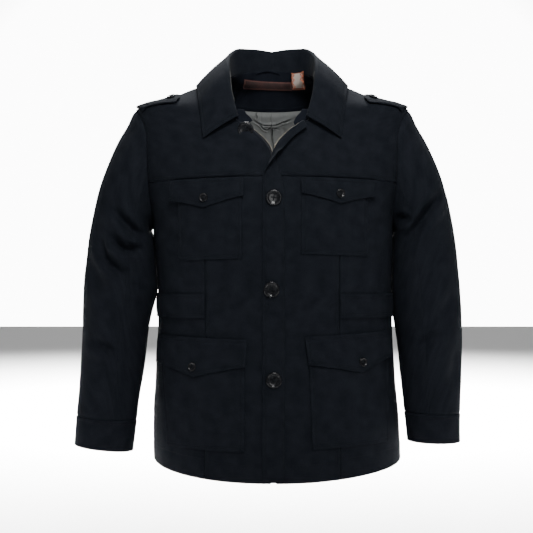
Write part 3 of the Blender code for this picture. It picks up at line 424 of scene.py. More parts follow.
seams = {
    # depth and width of each trough
    "roll": (0.0010, 0.0018),
    "pressed": (0.00010, 0.0012),
    "groove": (0.0005, 0.0008),
    "hemGroove": (0.0006, 0.0014),
    # height of the step in the cloth, and where it rises and falls
    "step": (0.0005, (0.0008, 0.0028), (0.0066, 0.0095)),
    "hemStep": (0.0006, (0.029, 0.034)),
    "hemStitch": 0.031,
}


def trough(name, away):
    depth, width = seams[name]
    return -depth * np.exp(-((away / width) ** 2))


def seamLift(distances, sides):
    # the roll of the cloth into its seams, and the step and groove of their top stitching
    lift = 0.0
    for side, kind in sides.items():
        d = distances[side]
        if kind in ("seam", "stitched"):
            lift = lift + trough("roll", d)
        if kind == "pressed":
            lift = lift + trough("pressed", d)
        if kind == "stitched":
            height, rise, fall = seams["step"]
            lift = lift + height * (1 - blend(*fall, d)) * blend(*rise, d)
        if kind in ("stitched", "edge"):
            lift = lift + trough("groove", d - cloth["stitchFromEdge"])
        if kind == "hem":
            height, fall = seams["hemStep"]
            lift = lift + height * (1 - blend(*fall, d)) + trough("hemGroove", d - seams["hemStitch"])
    return lift


def drawnIn(points, amount, sides):
    # pulls a grid's border in, to leave the gap of a seam
    points = points.copy()
    moves = []
    for side in sides:
        border, inner = {
            "left": (np.s_[:, 0], np.s_[:, 1]),
            "right": (np.s_[:, -1], np.s_[:, -2]),
            "bottom": (np.s_[0], np.s_[1]),
            "top": (np.s_[-1], np.s_[-2]),
        }[side]
        moves.append((border, unit(points[inner] - points[border]) * amount))
    for border, move in moves:
        points[border] += move
    return points


rims = {"width": 0.0013, "least": 0.35, "pressedWidth": 0.0004, "pressedLeast": 0.85}


def roundedRim(outer, inner, distances, sides, width=rims["width"]):
    # thins a wall towards its edges, and less where it is pressed into a seam
    middle, half = (outer + inner) / 2, (outer - inner) / 2
    share = np.ones(outer.shape[:-1])
    for side in sides:
        pressed = isinstance(sides, dict) and sides[side] == "pressed"
        s = np.clip(distances[side] / (rims["pressedWidth"] if pressed else width), 0, 1)
        least = rims["pressedLeast" if pressed else "least"]
        share = np.minimum(share, least + (1 - least) * np.sqrt(1 - (1 - s) ** 2))
    return middle + half * share[..., None], middle - half * share[..., None]


def clothShell(name, outer, inner, distances, closed=False):
    # a grid, its faces extruded to the second face and then moved to the cloth's form;
    # a closed one is joined to itself where its two sides meet
    rows, columns = outer.shape[:2]
    bm = bmesh.new()
    bmesh.ops.create_grid(bm, x_segments=columns - 1, y_segments=rows - 1, size=1.0)
    mark = bm.verts.layers.int.new("mark")
    for vert in bm.verts:
        column = round((vert.co.x + 1) / 2 * (columns - 1))
        row = round((vert.co.y + 1) / 2 * (rows - 1))
        vert[mark] = row * columns + column
    first = set(bm.verts)
    bmesh.ops.extrude_face_region(bm, geom=list(bm.faces), use_keep_orig=True)
    uvLayer = bm.loops.layers.uv.new("cloth")
    width = distances["left"]
    flatU = (width - width[:, -1:] / 2 + width[rows // 2, -1] / 2).reshape(-1)
    flatV = distances["bottom"].reshape(-1)
    flatOuter, flatInner = outer.reshape(-1, 3), inner.reshape(-1, 3)
    for vert in bm.verts:
        vert.co = (flatOuter if vert in first else flatInner)[vert[mark]]
    for face in bm.faces:
        for loop in face.loops:
            k = loop.vert[mark]
            loop[uvLayer].uv = (flatU[k], flatV[k])
    if closed:
        bmesh.ops.remove_doubles(bm, verts=bm.verts, dist=1e-5)
        walls = [face for face in bm.faces if sum(len(edge.link_faces) > 2 for edge in face.edges) >= 2]
        bmesh.ops.delete(bm, geom=walls, context="FACES_ONLY")
    bmesh.ops.recalc_face_normals(bm, faces=bm.faces)
    bm.verts.layers.int.remove(mark)
    return finishedPiece(name, bm)


def linked(name, content):
    made = bpy.data.objects.new(name, content)
    bpy.context.scene.collection.objects.link(made)
    return made


def finishedPiece(name, bm, sharp=55):
    mesh = bpy.data.meshes.new(name)
    bm.to_mesh(mesh)
    bm.free()
    mesh.shade_smooth()
    mesh.set_sharp_from_angle(angle=math.radians(sharp))
    return linked(name, mesh)


def dress(piece, material, nodes=()):
    piece.data.materials.append(material)
    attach(piece, "root")
    if nodes:
        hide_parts(*nodes)


def addThread(bm, start, end, radius):
    # one straight stretch of thread
    start, end = Vector(start), Vector(end)
    way = (end - start).to_track_quat("Z", "Y").to_matrix().to_4x4()
    bmesh.ops.create_cone(
        bm, cap_ends=True, segments=6, radius1=radius, radius2=radius,
        depth=(end - start).length * 1.03, matrix=Matrix.Translation((start + end) / 2) @ way,
    )


def toSide(grid, side):
    # the pieces of both sides are worked out at the wearer's left
    return grid * np.array([1 if side == "left" else -1, 1, 1])


stitchLines = []  # (points, normals) of every row of top stitching


def keepStitches(outer, inner, distances, side, inset=cloth["stitchFromEdge"]):
    # the row of points that runs beside an edge, for the thread
    normals = unit(outer - inner)
    if side in ("left", "right"):
        line = np.s_[:, int(np.argmin(abs(distances[side][outer.shape[0] // 2] - inset)))]
    else:
        line = np.s_[int(np.argmin(abs(distances[side][:, outer.shape[1] // 2] - inset)))]
    stitchLines.append((outer[line], normals[line]))


def torsoPiece(name, places, sides, thick, out=0.0, lift=None, follow=1.0, gap=True):
    # a wall of cloth on the torso, in its creased and filled form
    base, normal = onTorso(places), torsoNormal(places[..., 0], places[..., 1])
    distances = edgeDistances(base)
    stand = out + follow * bodyLift(base) + seamLift(distances, sides)
    if lift is not None:
        stand = stand + lift(base, distances)
    outer = base + normal * stand[..., None]
    inner = outer - normal * thick
    outer, inner = roundedRim(outer, inner, distances, sides)
    if gap:
        outer, inner = (drawnIn(grid, cloth["seamGap"] / 2, sides) for grid in (outer, inner))
    for side, kind in sides.items():
        if kind in ("stitched", "edge"):
            keepStitches(outer, inner, distances, side)
        if kind == "hem":
            keepStitches(outer, inner, distances, side, inset=seams["hemStitch"])
    return clothShell(name, outer, inner, distances), inner


def otherFront(places):
    # the same distances from the zip line on the other side
    angle, height = places[..., 0], places[..., 1]
    x = torsoPoint(angle, height)[..., 0]
    near = np.maximum(0.0, 1 - x / body["panelSeam"])
    shift = 2 * body["zipLine"] * near * (1 - blend(body["vFoot"], body["collarEnd"][1], height))
    seen = (x < body["panelSeam"] + 1e-6) & (height < body["collarEnd"][1] + 0.05)
    return pair(np.where(seen, placeAcross(shift - x, height), -angle), height)


def otherPanel(places):
    angle, height = places[..., 0], places[..., 1]
    seam, otherSeam = placeAcross(body["panelSeam"], height), placeAcross(-body["panelSeam"], height)
    near = np.maximum(0.0, (math.pi / 2 - angle) / (math.pi / 2 - seam))
    return pair(-angle + (otherSeam + seam) * near, height)


def flippedColumns(places):
    # keeps the columns running towards the wearer's left
    return places[:, ::-1]


# materials
finishes = {
    "wool": {"dark": (0.0027, 0.0037, 0.0054), "light": (0.0088, 0.0103, 0.0137), "pitch": 0.0011},
    "facing": {"dark": (0.0028, 0.0036, 0.0056), "light": (0.0068, 0.0084, 0.0122), "pitch": 0.0011},
    "lining": {"dark": (0.068, 0.072, 0.071), "light": (0.108, 0.113, 0.111), "pitch": 0.0006},
    "tape": {"dark": (0.006, 0.0065, 0.008), "light": (0.014, 0.015, 0.018), "pitch": 0.0008},
    "label": {"dark": (0.024, 0.0078, 0.0062), "light": (0.080, 0.023, 0.017), "pitch": 0.0005},
    "labelMiddle": {"dark": (0.0075, 0.0036, 0.0034), "light": (0.036, 0.0115, 0.0095), "pitch": 0.0005},
    "sizeLabel": {"dark": (0.40, 0.34, 0.30), "light": (0.56, 0.50, 0.45), "pitch": 0.0005},
    "labelBase": {"dark": (0.16, 0.050, 0.026), "light": (0.24, 0.080, 0.040), "pitch": 0.0005},
    # these have a fine cloud instead of a weave, of this scale
    "button": {"dark": (0.0020, 0.0023, 0.0030), "light": (0.0080, 0.0085, 0.0100), "scale": 190.0},
    "teeth": {"dark": (0.11, 0.095, 0.070), "light": (0.27, 0.24, 0.19), "scale": 700.0},
    "thread": {"dark": (0.0020, 0.0026, 0.0036), "light": (0.0045, 0.0056, 0.0076), "scale": 2500.0},
    "zigzag": {"dark": (0.30, 0.075, 0.034), "light": (0.62, 0.19, 0.09), "scale": 2500.0},
    "edgeTape": {"dark": (0.020, 0.021, 0.021), "light": (0.085, 0.088, 0.085), "scale": 900.0},
    # thin near-black discs stand for the button holes: painted shade of their hollows
    "hole": {"dark": (0.002, 0.002, 0.002), "light": (0.004, 0.004, 0.004), "scale": 300.0},
}
weave = {
    # noise scales, per metre of cloth
    "wobbleScale": 260.0, "fibreScale": 2600.0, "heatherScale": 620.0, "broadScale": 42.0,
    # how far the twill's lines wander, in metres
    "wobble": 0.0006,
    # shares of the tone, and the range that the colours are spread over
    "heather": 0.55, "fibres": 0.35, "twill": 0.12, "darkTone": 0.30, "lightTone": 0.72,
    "roughness": (0.16, 0.78),
}


def nodeGroup(name, inputs, outputs):
    group = bpy.data.node_groups.new(name, "ShaderNodeTree")
    for socketName, kind, default in inputs:
        socket = group.interface.new_socket(name=socketName, in_out="INPUT", socket_type=kind)
        if default is not None:
            socket.default_value = default
    for socketName, kind in outputs:
        group.interface.new_socket(name=socketName, in_out="OUTPUT", socket_type=kind)
    return group


class Wiring:
    # short words for placing and joining nodes in one tree
    def __init__(self, tree):
        self.tree = tree

    def node(self, kind, inputs=None, **settings):
        made = self.tree.nodes.new(kind)
        for key, value in settings.items():
            setattr(made, key, value)
        for key, value in (inputs or {}).items():
            self.feed(made.inputs[key], value)
        return made

    def feed(self, socket, value):
        if isinstance(value, bpy.types.NodeSocket):
            self.tree.links.new(value, socket)
        else:
            socket.default_value = value

    def math(self, operation, a, b=0.0, c=0.0):
        return self.node("ShaderNodeMath", {0: a, 1: b, 2: c}, operation=operation).outputs[0]

    def noise(self, vector, scale, detail=3.0, rough=0.6):
        inputs = {"Vector": vector, "Scale": scale, "Detail": detail, "Roughness": rough}
        return self.node("ShaderNodeTexNoise", inputs).outputs[0]

    def spread(self, value, low, high, start=0.0, end=1.0):
        inputs = {"Value": value, "From Min": low, "From Max": high, "To Min": start, "To Max": end}
        return self.node("ShaderNodeMapRange", inputs).outputs[0]

    def bump(self, height, strength, distance):
        inputs = {"Height": height, "Strength": strength, "Distance": distance}
        return self.node("ShaderNodeBump", inputs).outputs[0]

    def mix(self, factor, a, b):
        made = self.node("ShaderNodeMix", data_type="RGBA")
        self.feed(made.inputs[0], factor)
        self.feed(made.inputs[6], a)
        self.feed(made.inputs[7], b)
        return made.outputs[2]


def makeWeaveGroup():
    # twill lines over felted fibres, from a piece's own cloth coordinates in metres
    floatKind, colourKind, vectorKind = "NodeSocketFloat", "NodeSocketColor", "NodeSocketVector"
    group = nodeGroup(
        "feltedTwill",
        [
            ("Vector", vectorKind, None),
            ("Pitch", floatKind, 0.001),
            ("Felting", floatKind, 0.6),
            ("Mottle", floatKind, 0.5),
            ("Dark", colourKind, (0.01, 0.01, 0.01, 1)),
            ("Light", colourKind, (0.02, 0.02, 0.02, 1)),
        ],
        [("Colour", colourKind), ("Height", floatKind), ("Roughness", floatKind)],
    )
    w = Wiring(group)
    given, out = w.node("NodeGroupInput").outputs, w.node("NodeGroupOutput").inputs
    vector, pitch, felt = given["Vector"], given["Pitch"], given["Felting"]
    across, along, _ = w.node("ShaderNodeSeparateXYZ", {0: vector}).outputs
    wobble = w.noise(vector, weave["wobbleScale"], 2.0)
    diagonal = w.math("MULTIPLY_ADD", wobble, weave["wobble"], w.math("ADD", across, along))
    crossing = w.math("SUBTRACT", across, along)

    def waves(place, cycles):
        # between 0 and 1, with so many cycles in each pitch
        angle = w.math("DIVIDE", w.math("MULTIPLY", place, 2 * math.pi * cycles), pitch)
        return w.math("MULTIPLY_ADD", w.math("SINE", angle), 0.5, 0.5)

    breaks = w.math("MULTIPLY_ADD", waves(crossing, 2), 0.35, 0.65)
    twill = w.math("MULTIPLY", waves(diagonal, 1), breaks)
    fibres = w.noise(vector, weave["fibreScale"], 4.0, 0.7)
    heather = w.noise(vector, weave["heatherScale"], 3.0, 0.65)
    broad = w.noise(vector, weave["broadScale"], 3.0, 0.55)
    woven = w.math("MULTIPLY", twill, w.math("SUBTRACT", 1.0, felt))
    height = w.math("ADD", woven, w.math("MULTIPLY", fibres, felt))
    height = w.math("ADD", height, w.math("MULTIPLY", heather, 0.5))
    tone = w.math("MULTIPLY", heather, weave["heather"])
    tone = w.math("ADD", tone, w.math("MULTIPLY", fibres, weave["fibres"]))
    tone = w.math("ADD", tone, w.math("MULTIPLY", twill, weave["twill"]))
    tone = w.math("ADD", tone, w.math("MULTIPLY", w.math("SUBTRACT", broad, 0.5), given["Mottle"]))
    shade = w.spread(tone, weave["darkTone"], weave["lightTone"])
    w.feed(out["Colour"], w.mix(shade, given["Dark"], given["Light"]))
    w.feed(out["Height"], height)
    w.feed(out["Roughness"], w.math("MULTIPLY_ADD", fibres, *weave["roughness"]))
    return group


weaveGroup = makeWeaveGroup()


def plainMaterial(name, roughness=0.6, metallic=0.0):
    made = bpy.data.materials.new(name)
    made.use_nodes = True
    shader = made.node_tree.nodes["Principled BSDF"]
    shader.inputs["Roughness"].default_value = roughness
    shader.inputs["Metallic"].default_value = metallic
    return made, Wiring(made.node_tree), shader


def clothMaterial(name, felting=0.6, mottle=0.5, bump=0.5, relief=0.0004, sheen=0.0, gloss=0.25):
    made, w, shader = plainMaterial(name + "Cloth")
    finish = finishes[name]
    weaving = w.node("ShaderNodeGroup", node_tree=weaveGroup)
    w.feed(weaving.inputs["Vector"], w.node("ShaderNodeUVMap", uv_map="cloth").outputs[0])
    weaving.inputs["Pitch"].default_value = finish["pitch"]
    weaving.inputs["Felting"].default_value = felting
    weaving.inputs["Mottle"].default_value = mottle
    weaving.inputs["Dark"].default_value = (*finish["dark"], 1)
    weaving.inputs["Light"].default_value = (*finish["light"], 1)
    w.feed(shader.inputs["Base Color"], weaving.outputs["Colour"])
    w.feed(shader.inputs["Roughness"], weaving.outputs["Roughness"])
    w.feed(shader.inputs["Normal"], w.bump(weaving.outputs["Height"], bump, relief))
    shader.inputs["Specular IOR Level"].default_value = gloss
    shader.inputs["Sheen Weight"].default_value = sheen
    shader.inputs["Sheen Roughness"].default_value = 0.5
    shader.inputs["Sheen Tint"].default_value = (0.75, 0.85, 1.0, 1)
    return made


def noiseMaterial(name, roughness, metallic=0.0, bump=0.0, gloss=0.5):
    made, w, shader = plainMaterial(name, roughness, metallic)
    finish = finishes[name]
    place = w.node("ShaderNodeTexCoord").outputs["Object"]
    cloud = w.noise(place, finish["scale"], 4.0, 0.6)
    shade = w.spread(cloud, 0.35, 0.68)
    w.feed(shader.inputs["Base Color"], w.mix(shade, (*finish["dark"], 1), (*finish["light"], 1)))
    w.feed(shader.inputs["Roughness"], w.math("MULTIPLY_ADD", cloud, 0.18, roughness - 0.09))
    shader.inputs["Specular IOR Level"].default_value = gloss
    if bump:
        w.feed(shader.inputs["Normal"], w.bump(cloud, bump, 0.0002))
    return made


woolCloth = clothMaterial("wool", sheen=0.002, gloss=0.03)
facingCloth = clothMaterial("facing", sheen=0.002, gloss=0.03)
liningCloth = clothMaterial("lining", felting=0.1, mottle=0.25, bump=0.35, relief=0.00015, gloss=0.5)
tapeCloth = clothMaterial("tape", felting=0.1, mottle=0.2)
labelCloth = clothMaterial("label", felting=0.1, mottle=0.3, gloss=0.5)
labelDark = clothMaterial("labelMiddle", felting=0.2, mottle=0.8, gloss=0.4)
sizeCloth = clothMaterial("sizeLabel", felting=0.1, mottle=0.2, gloss=0.5)
baseCloth = clothMaterial("labelBase", felting=0.1, mottle=0.2, gloss=0.4)
buttonHorn = noiseMaterial("button", 0.15, gloss=0.18)
# painted shade: the button holes are dark discs, not hollows
holeShadeDark = noiseMaterial("hole", 0.9)
zipBrass = noiseMaterial("teeth", 0.50, metallic=0.5)
threadTwist = noiseMaterial("thread", 0.85, bump=0.4, gloss=0.1)
zigzagThread = noiseMaterial("zigzag", 0.6, bump=0.4)
edgeTape = noiseMaterial("edgeTape", 0.9, gloss=0.1)
print("materials made")

# the stage
view = {
    # the photograph: where it is seen from, and a pixel's size at the coat's middle
    "camera": (-0.0102, -2.4, -0.3339),
    "distance": 2.4,
    "width": 533 * 0.00185,
    "floor": -0.86,
    # the studio is brightest in a patch straight behind the coat
    "frontGlow": 0.22,
    "backGlow": 12.0,
    "patch": (0.945, 0.965),
    # each lamp's place, size, power, aim and spread in degrees
    "lamps": {
        "keyLight": ((0.16, -1.62, 1.30), 0.6, 12.4, (0.02, 0, 0.24), 78),
        "fillLight": ((0.5, -2.6, 0.7), 1.2, 20.0, (0, 0, -0.2), 180),
        "topLight": ((0.1, -0.6, 1.9), 0.9, 14.0, (0, 0, -0.2), 180),
        "floorLight": ((0.0, 2.7, 3.0), 2.6, 900.0, (0, 2.4, -0.86), 75),
    },
}


def makeCamera():
    lens = bpy.data.cameras.new("photographCamera")
    lens.sensor_width = 36.0
    lens.lens = 36.0 * view["distance"] / view["width"]
    camera = linked("photographCamera", lens)
    camera.location = view["camera"]
    camera.rotation_euler = (math.radians(90), 0, 0)
    bpy.context.scene.camera = camera


def makeLight():
    world = bpy.data.worlds.new("studio")
    world.use_nodes = True
    w = Wiring(world.node_tree)
    way = w.node("ShaderNodeTexCoord").outputs["Generated"]
    ahead = w.node("ShaderNodeSeparateXYZ", {0: way}).outputs[1]
    background = world.node_tree.nodes["Background"]
    background.inputs["Color"].default_value = (1.0, 1.0, 1.0, 1)
    bright = w.spread(ahead, *view["patch"], view["frontGlow"], view["backGlow"])
    w.feed(background.inputs["Strength"], bright)
    bpy.context.scene.world = world
    for name, (place, size, power, aim, spread) in view["lamps"].items():
        lamp = bpy.data.lights.new(name, "AREA")
        lamp.shape = "DISK"
        lamp.size = size
        lamp.energy = power
        lamp.spread = math.radians(spread)
        light = linked(name, lamp)
        light.location = place
        light.rotation_euler = (Vector(aim) - Vector(place)).to_track_quat("-Z", "Y").to_euler()


def makeFloor():
    bm = bmesh.new()
    bmesh.ops.create_grid(bm, x_segments=2, y_segments=2, size=9.0)
    bmesh.ops.translate(bm, verts=bm.verts, vec=(0, 0, view["floor"]))
    floor = finishedPiece("studioFloor", bm)
    pale, w, shader = plainMaterial("paleFloor", 0.9)
    cloud = w.noise(w.node("ShaderNodeTexCoord").outputs["Object"], 3.0)
    w.feed(shader.inputs["Base Color"], w.mix(cloud, (0.93, 0.93, 0.93, 1), (0.96, 0.96, 0.96, 1)))
    floor.data.materials.append(pale)


makeCamera()
makeLight()
makeFloor()
print("stage set")
# body panels
panels = {
    # each panel's flat width and length, and its area where it isn't square
    "front": ((0.135, 0.560), 0.066),
    "side": ((0.175, 0.560), 0.091),
    "yoke": ((0.250, 0.215), 0.043),
    "back": ((0.640, 0.760), 0.405),
    # rough lengths that set how many lines each grid has
    "frontWidth": 0.112,
    "sideWidth": 0.150,
    "length": 0.532,
    "yokeWidth": 0.230,
    "yokeLength": 0.205,
    "backWidth": 0.62,
    "backLength": 0.86,
    # the yoke's seam meets the armhole at this step, and drops towards it
    "yokeStep": 7,
    "yokeDrop": 1.6,
}


def armholeEdge(first, last):
    return lambda at: armholePlace(first + (last - first) * np.asarray(at, float))


def yokeSeamPlace(x):
    share = np.clip((x - yokeStartX) / (yokeEndX - yokeStartX), 0, 1)
    height = body["yokeSeam"] + (yokeEnd[1] - body["yokeSeam"]) * share ** panels["yokeDrop"]
    return pair(placeAcross(x, height), height)


yokeEnd = armholePlace(panels["yokeStep"])
yokeStartX = float(torsoPoint(*frontEdgePlace(body["yokeSeam"], 1, body["edgeSetback"]))[0])
yokeEndX = float(torsoPoint(*yokeEnd)[0])


def between(a, b):
    return lambda at: a + (b - a) * np.asarray(at, float)


def hemPlace(angle):
    return pair(angle, hemHeight(angle))


def seamPlace(share):
    # the seam between a front and its side panel, upwards
    low = float(hemHeight(float(placeAcross(body["panelSeam"], body["hemFront"]))))
    high = float(yokeSeamPlace(body["panelSeam"])[1])
    height = between(low, high)(share)
    return pair(placeAcross(body["panelSeam"], height), height)


def sidePlace(share):
    return pair(math.pi / 2, between(body["hemSide"], body["underarm"])(share))


def frontPlaces(rows):
    across = between(yokeStartX, body["panelSeam"])
    edge = lambda at: frontEdgePlace(between(body["hemFront"], body["yokeSeam"])(at), 1, body["edgeSetback"])
    hem = lambda at: hemPlace(placeAcross(across(at), body["hemFront"]))
    top = lambda at: yokeSeamPlace(across(at))
    return fillIn(hem, top, edge, seamPlace, cuts(panels["frontWidth"], body["step"]), rows)


def sidePlaces(rows):
    hem = lambda at: hemPlace(between(float(seamPlace(0.0)[0]), math.pi / 2)(at))
    top = joined(
        (lambda at: yokeSeamPlace(between(body["panelSeam"], yokeEndX)(at)), 3),
        (armholeEdge(panels["yokeStep"], 12), 5),
    )
    columns = cuts(panels["sideWidth"], body["step"], breaks=(3 / 8,))
    return fillIn(hem, top, seamPlace, sidePlace, columns, rows)


def yokePlaces():
    endZ = body["collarEnd"][1]
    vEdge = lambda at: frontEdgePlace(between(body["yokeSeam"], endZ)(at), 1, body["edgeSetback"])
    onFront = lambda x, z: float(placeAcross(x, z)) if z < body["neckSide"] - 1e-6 else math.pi / 2
    neckPlaces = [(onFront(x, z), z) for x, z in reversed(body["neckFront"])]
    edge = joined((vEdge, 4), (throughPlaces(neckPlaces), 3))
    seamLine = joined(
        (lambda at: yokeSeamPlace(between(yokeStartX, body["panelSeam"])(at)), 5),
        (lambda at: yokeSeamPlace(between(body["panelSeam"], yokeEndX)(at)), 3),
    )
    columns = cuts(panels["yokeWidth"], body["step"], breaks=(5 / 8,))
    rows = cuts(panels["yokeLength"], body["step"], breaks=(4 / 7,))
    return fillIn(seamLine, shoulderPlace, edge, armholeEdge(panels["yokeStep"], 0), columns, rows)


def backPlaces():
    near = joined(
        (sidePlace, 12), (armholeEdge(12, 24), 12), (lambda at: shoulderPlace(1 - np.asarray(at, float)), 8)
    )
    far = lambda at: near(at) * [-1, 1] + [2 * math.pi, 0]
    hem = lambda at: hemPlace(between(math.pi / 2, 3 * math.pi / 2)(at))
    columns = cuts(panels["backWidth"], body["backStep"])
    rows = cuts(panels["backLength"], body["backStep"], breaks=(3 / 8, 3 / 4))
    return fillIn(hem, neckBackPlace, near, far, columns, rows)


def makePanel(name, node, places, left, right, bottom):
    sides = {"left": left, "right": right, "bottom": bottom, "top": "seam"}
    piece, _ = torsoPiece(name, places, sides, cloth["thick"])
    dress(piece, woolCloth, (node,))


def makePanels():
    rows = cuts(panels["length"], body["step"])
    for kind, places, mirror, left, right, bottom in (
        ("front", frontPlaces(rows), otherFront, "edge", "stitched", "hem"),
        ("side", sidePlaces(rows), otherPanel, "seam", "seam", "hem"),
        ("yoke", yokePlaces(), otherFront, "edge", "seam", "stitched"),
    ):
        makePanel(kind + "Left", kind + "_left", places, left, right, bottom)
        makePanel(kind + "Right", kind + "_right", flippedColumns(mirror(places)), right, left, bottom)
    makePanel("backPanel", "back", backPlaces(), "seam", "seam", "hem")


makePanels()
print("panels made")

# sleeves
sleeves = {
    # outer x and z, inner x and z, depth in front, depth behind, middle's y, from the armhole to the cuff
    "rings": [
        (0, 0.2525, -0.0470, 0.2195, -0.2640, 0.064, 0.064, 0.000),
        (1, 0.2660, -0.0730, 0.2225, -0.2710, 0.069, 0.069, 0.000),
        (2, 0.2835, -0.1030, 0.2230, -0.2800, 0.073, 0.074, 0.000),
        (3, 0.2990, -0.1370, 0.2215, -0.2920, 0.076, 0.078, 0.000),
        (4, 0.3130, -0.1740, 0.2200, -0.3070, 0.077, 0.080, 0.000),
        (5, 0.3245, -0.2160, 0.2185, -0.3260, 0.077, 0.080, -0.002),
        (6, 0.3350, -0.2670, 0.2180, -0.3510, 0.075, 0.078, -0.005),
        (7, 0.3420, -0.3240, 0.2188, -0.3820, 0.072, 0.075, -0.009),
        (8, 0.3465, -0.3840, 0.2215, -0.4190, 0.069, 0.071, -0.013),
        (9, 0.3475, -0.4400, 0.2268, -0.4580, 0.066, 0.067, -0.018),
        (10, 0.3480, -0.5000, 0.2325, -0.5100, 0.062, 0.062, -0.026),
        (11, 0.3490, -0.5560, 0.2400, -0.5620, 0.057, 0.057, -0.036),
        (12, 0.3505, -0.6020, 0.2455, -0.6080, 0.0535, 0.0535, -0.045),
        (13, 0.3520, -0.6540, 0.2510, -0.6620, 0.0515, 0.0515, -0.055),
    ],
    # how far each cuff's outer x, inner x, outer z and inner z lie from that table
    "ends": {"right": (0.0050, 0.0, 0.0, -0.0040), "left": (-0.0125, -0.0073, 0.0050, 0.0150)},
    "endRings": (9, 13.3),
    # how far each sleeve leans in to the body below the underarm, and over which rings
    "lean": {"right": -0.0090, "left": -0.0022},
    "leanRings": ((1.0, 4.0), (6.4, 8.4)),
    # the sleeve takes its own form from the armhole's over these rings
    "joinRings": (0, 4),
    # fullness of the head: its height, ring and breadth
    "head": (0.0022, 0.45, 0.4),
    "creases": 2.0,
    "creaseRings": ((0.15, 0.8), (11.2, 11.9)),
    # size, seed and height of the soft unevenness, and a shift for each side
    "soft": (0.07, 1.0, 0.0014),
    "shift": {"left": 5.0, "right": 8.0},
    "restGap": 0.0014,
    # rough width of a step and lengths of the sleeve and the cuff, with the spaces between their lines
    "stepWidth": 0.0165,
    "across": 0.0046,
    "sleeve": (0.60, 0.0052),
    "cuff": (0.052, 0.004),
    "pressedGap": 0.00004,
    "cuffRing": 12,
    "columns": 104,
    # each part's steps round the armhole, its flat width and length, and its area
    "parts": {"Top": (-7, 7, (0.300, 0.640), 0.135), "Under": (7, 17, (0.210, 0.500), 0.070)},
    "cuffCut": (0.335, 0.056),
}
# creases of the sleeves seen from the front and from behind, with x measured outwards
sleeveCreases = {
    ("right", "front"): [
        ([(0.290, -0.222), (0.266, -0.254), (0.244, -0.276), (0.226, -0.286)], 0.0085, 0.0060),
        ([(0.296, -0.276), (0.268, -0.300), (0.228, -0.306)], 0.0080, 0.0065),
        ([(0.316, -0.262), (0.302, -0.318), (0.270, -0.346), (0.236, -0.352)], 0.0090, 0.0055),
        ([(0.330, -0.300), (0.318, -0.350), (0.292, -0.405)], 0.0120, 0.0030),
        ([(0.326, -0.466), (0.298, -0.478), (0.274, -0.494)], 0.0085, 0.0050),
        ([(0.268, -0.352), (0.246, -0.372), (0.234, -0.376)], 0.0080, 0.0030),
        ([(0.300, -0.520), (0.282, -0.540), (0.262, -0.548)], 0.0100, 0.0018),
    ],
    ("left", "front"): [
        ([(0.312, -0.196), (0.278, -0.238), (0.256, -0.270), (0.236, -0.298)], 0.0090, 0.0075),
        ([(0.222, -0.244), (0.236, -0.250), (0.252, -0.246)], 0.0070, 0.0040),
        ([(0.330, -0.380), (0.314, -0.410), (0.298, -0.432)], 0.0120, 0.0026),
        ([(0.308, -0.446), (0.286, -0.462), (0.256, -0.484)], 0.0100, 0.0040),
        ([(0.336, -0.470), (0.330, -0.520), (0.312, -0.552)], 0.0120, 0.0022),
        ([(0.300, -0.300), (0.286, -0.350), (0.262, -0.380)], 0.0140, 0.0018),
    ],
    ("right", "back"): [
        ([(0.306, -0.205), (0.272, -0.250), (0.232, -0.280)], 0.0100, 0.0060),
        ([(0.322, -0.280), (0.290, -0.320), (0.236, -0.335)], 0.0100, 0.0050),
        ([(0.330, -0.440), (0.296, -0.462), (0.252, -0.470)], 0.0100, 0.0050),
        ([(0.334, -0.505), (0.300, -0.520), (0.256, -0.515)], 0.0110, 0.0030),
    ],
    ("left", "back"): [
        ([(0.300, -0.190), (0.268, -0.235), (0.230, -0.270)], 0.0100, 0.0060),
        ([(0.326, -0.300), (0.286, -0.330), (0.234, -0.340)], 0.0110, 0.0048),
        ([(0.328, -0.430), (0.290, -0.455), (0.250, -0.462)], 0.0100, 0.0050),
        ([(0.336, -0.500), (0.296, -0.525), (0.258, -0.522)], 0.0110, 0.0030),
    ],
}
readSleeve = smoothReader(sleeves["rings"])


def sleevePoint(side, turn, ring):
    # turn 0 is the outer side, 90 degrees the front and 180 the body side
    outerX, outerZ, innerX, innerZ, front, back, middleY = np.moveaxis(readSleeve(ring), -1, 0)
    outerShift, innerShift, outerRise, innerRise = sleeves["ends"][side]
    atCuff = blend(*sleeves["endRings"], ring)
    leanIn, leanOut = sleeves["leanRings"]
    innerX = innerX + sleeves["lean"][side] * blend(*leanIn, ring) * (1 - blend(*leanOut, ring))
    outer = np.stack([outerX + outerShift * atCuff, middleY, outerZ + outerRise * atCuff], -1)
    inner = np.stack([innerX + innerShift * atCuff, middleY, innerZ + innerRise * atCuff], -1)
    half, middle = (outer - inner) / 2, (outer + inner) / 2
    point = middle + half * np.cos(turn)[..., None]
    point[..., 1] -= np.where(np.sin(turn) > 0, front, back) * np.sin(turn)
    # from the table's first oval to the armhole's own curve
    topX, topZ, lowX, lowZ = sleeves["rings"][0][1:5]
    up = (1 + np.cos(turn)) / 2
    deep = -body["armholeDepth"] * np.sin(turn)
    oval = np.stack([lowX + (topX - lowX) * up, deep, lowZ + (topZ - lowZ) * up], -1)
    seam = onTorso(armholePlace(turn / armholeTurn))
    point = point + (seam - oval) * (1 - blend(*sleeves["joinRings"], ring))[..., None]
    return point, middle


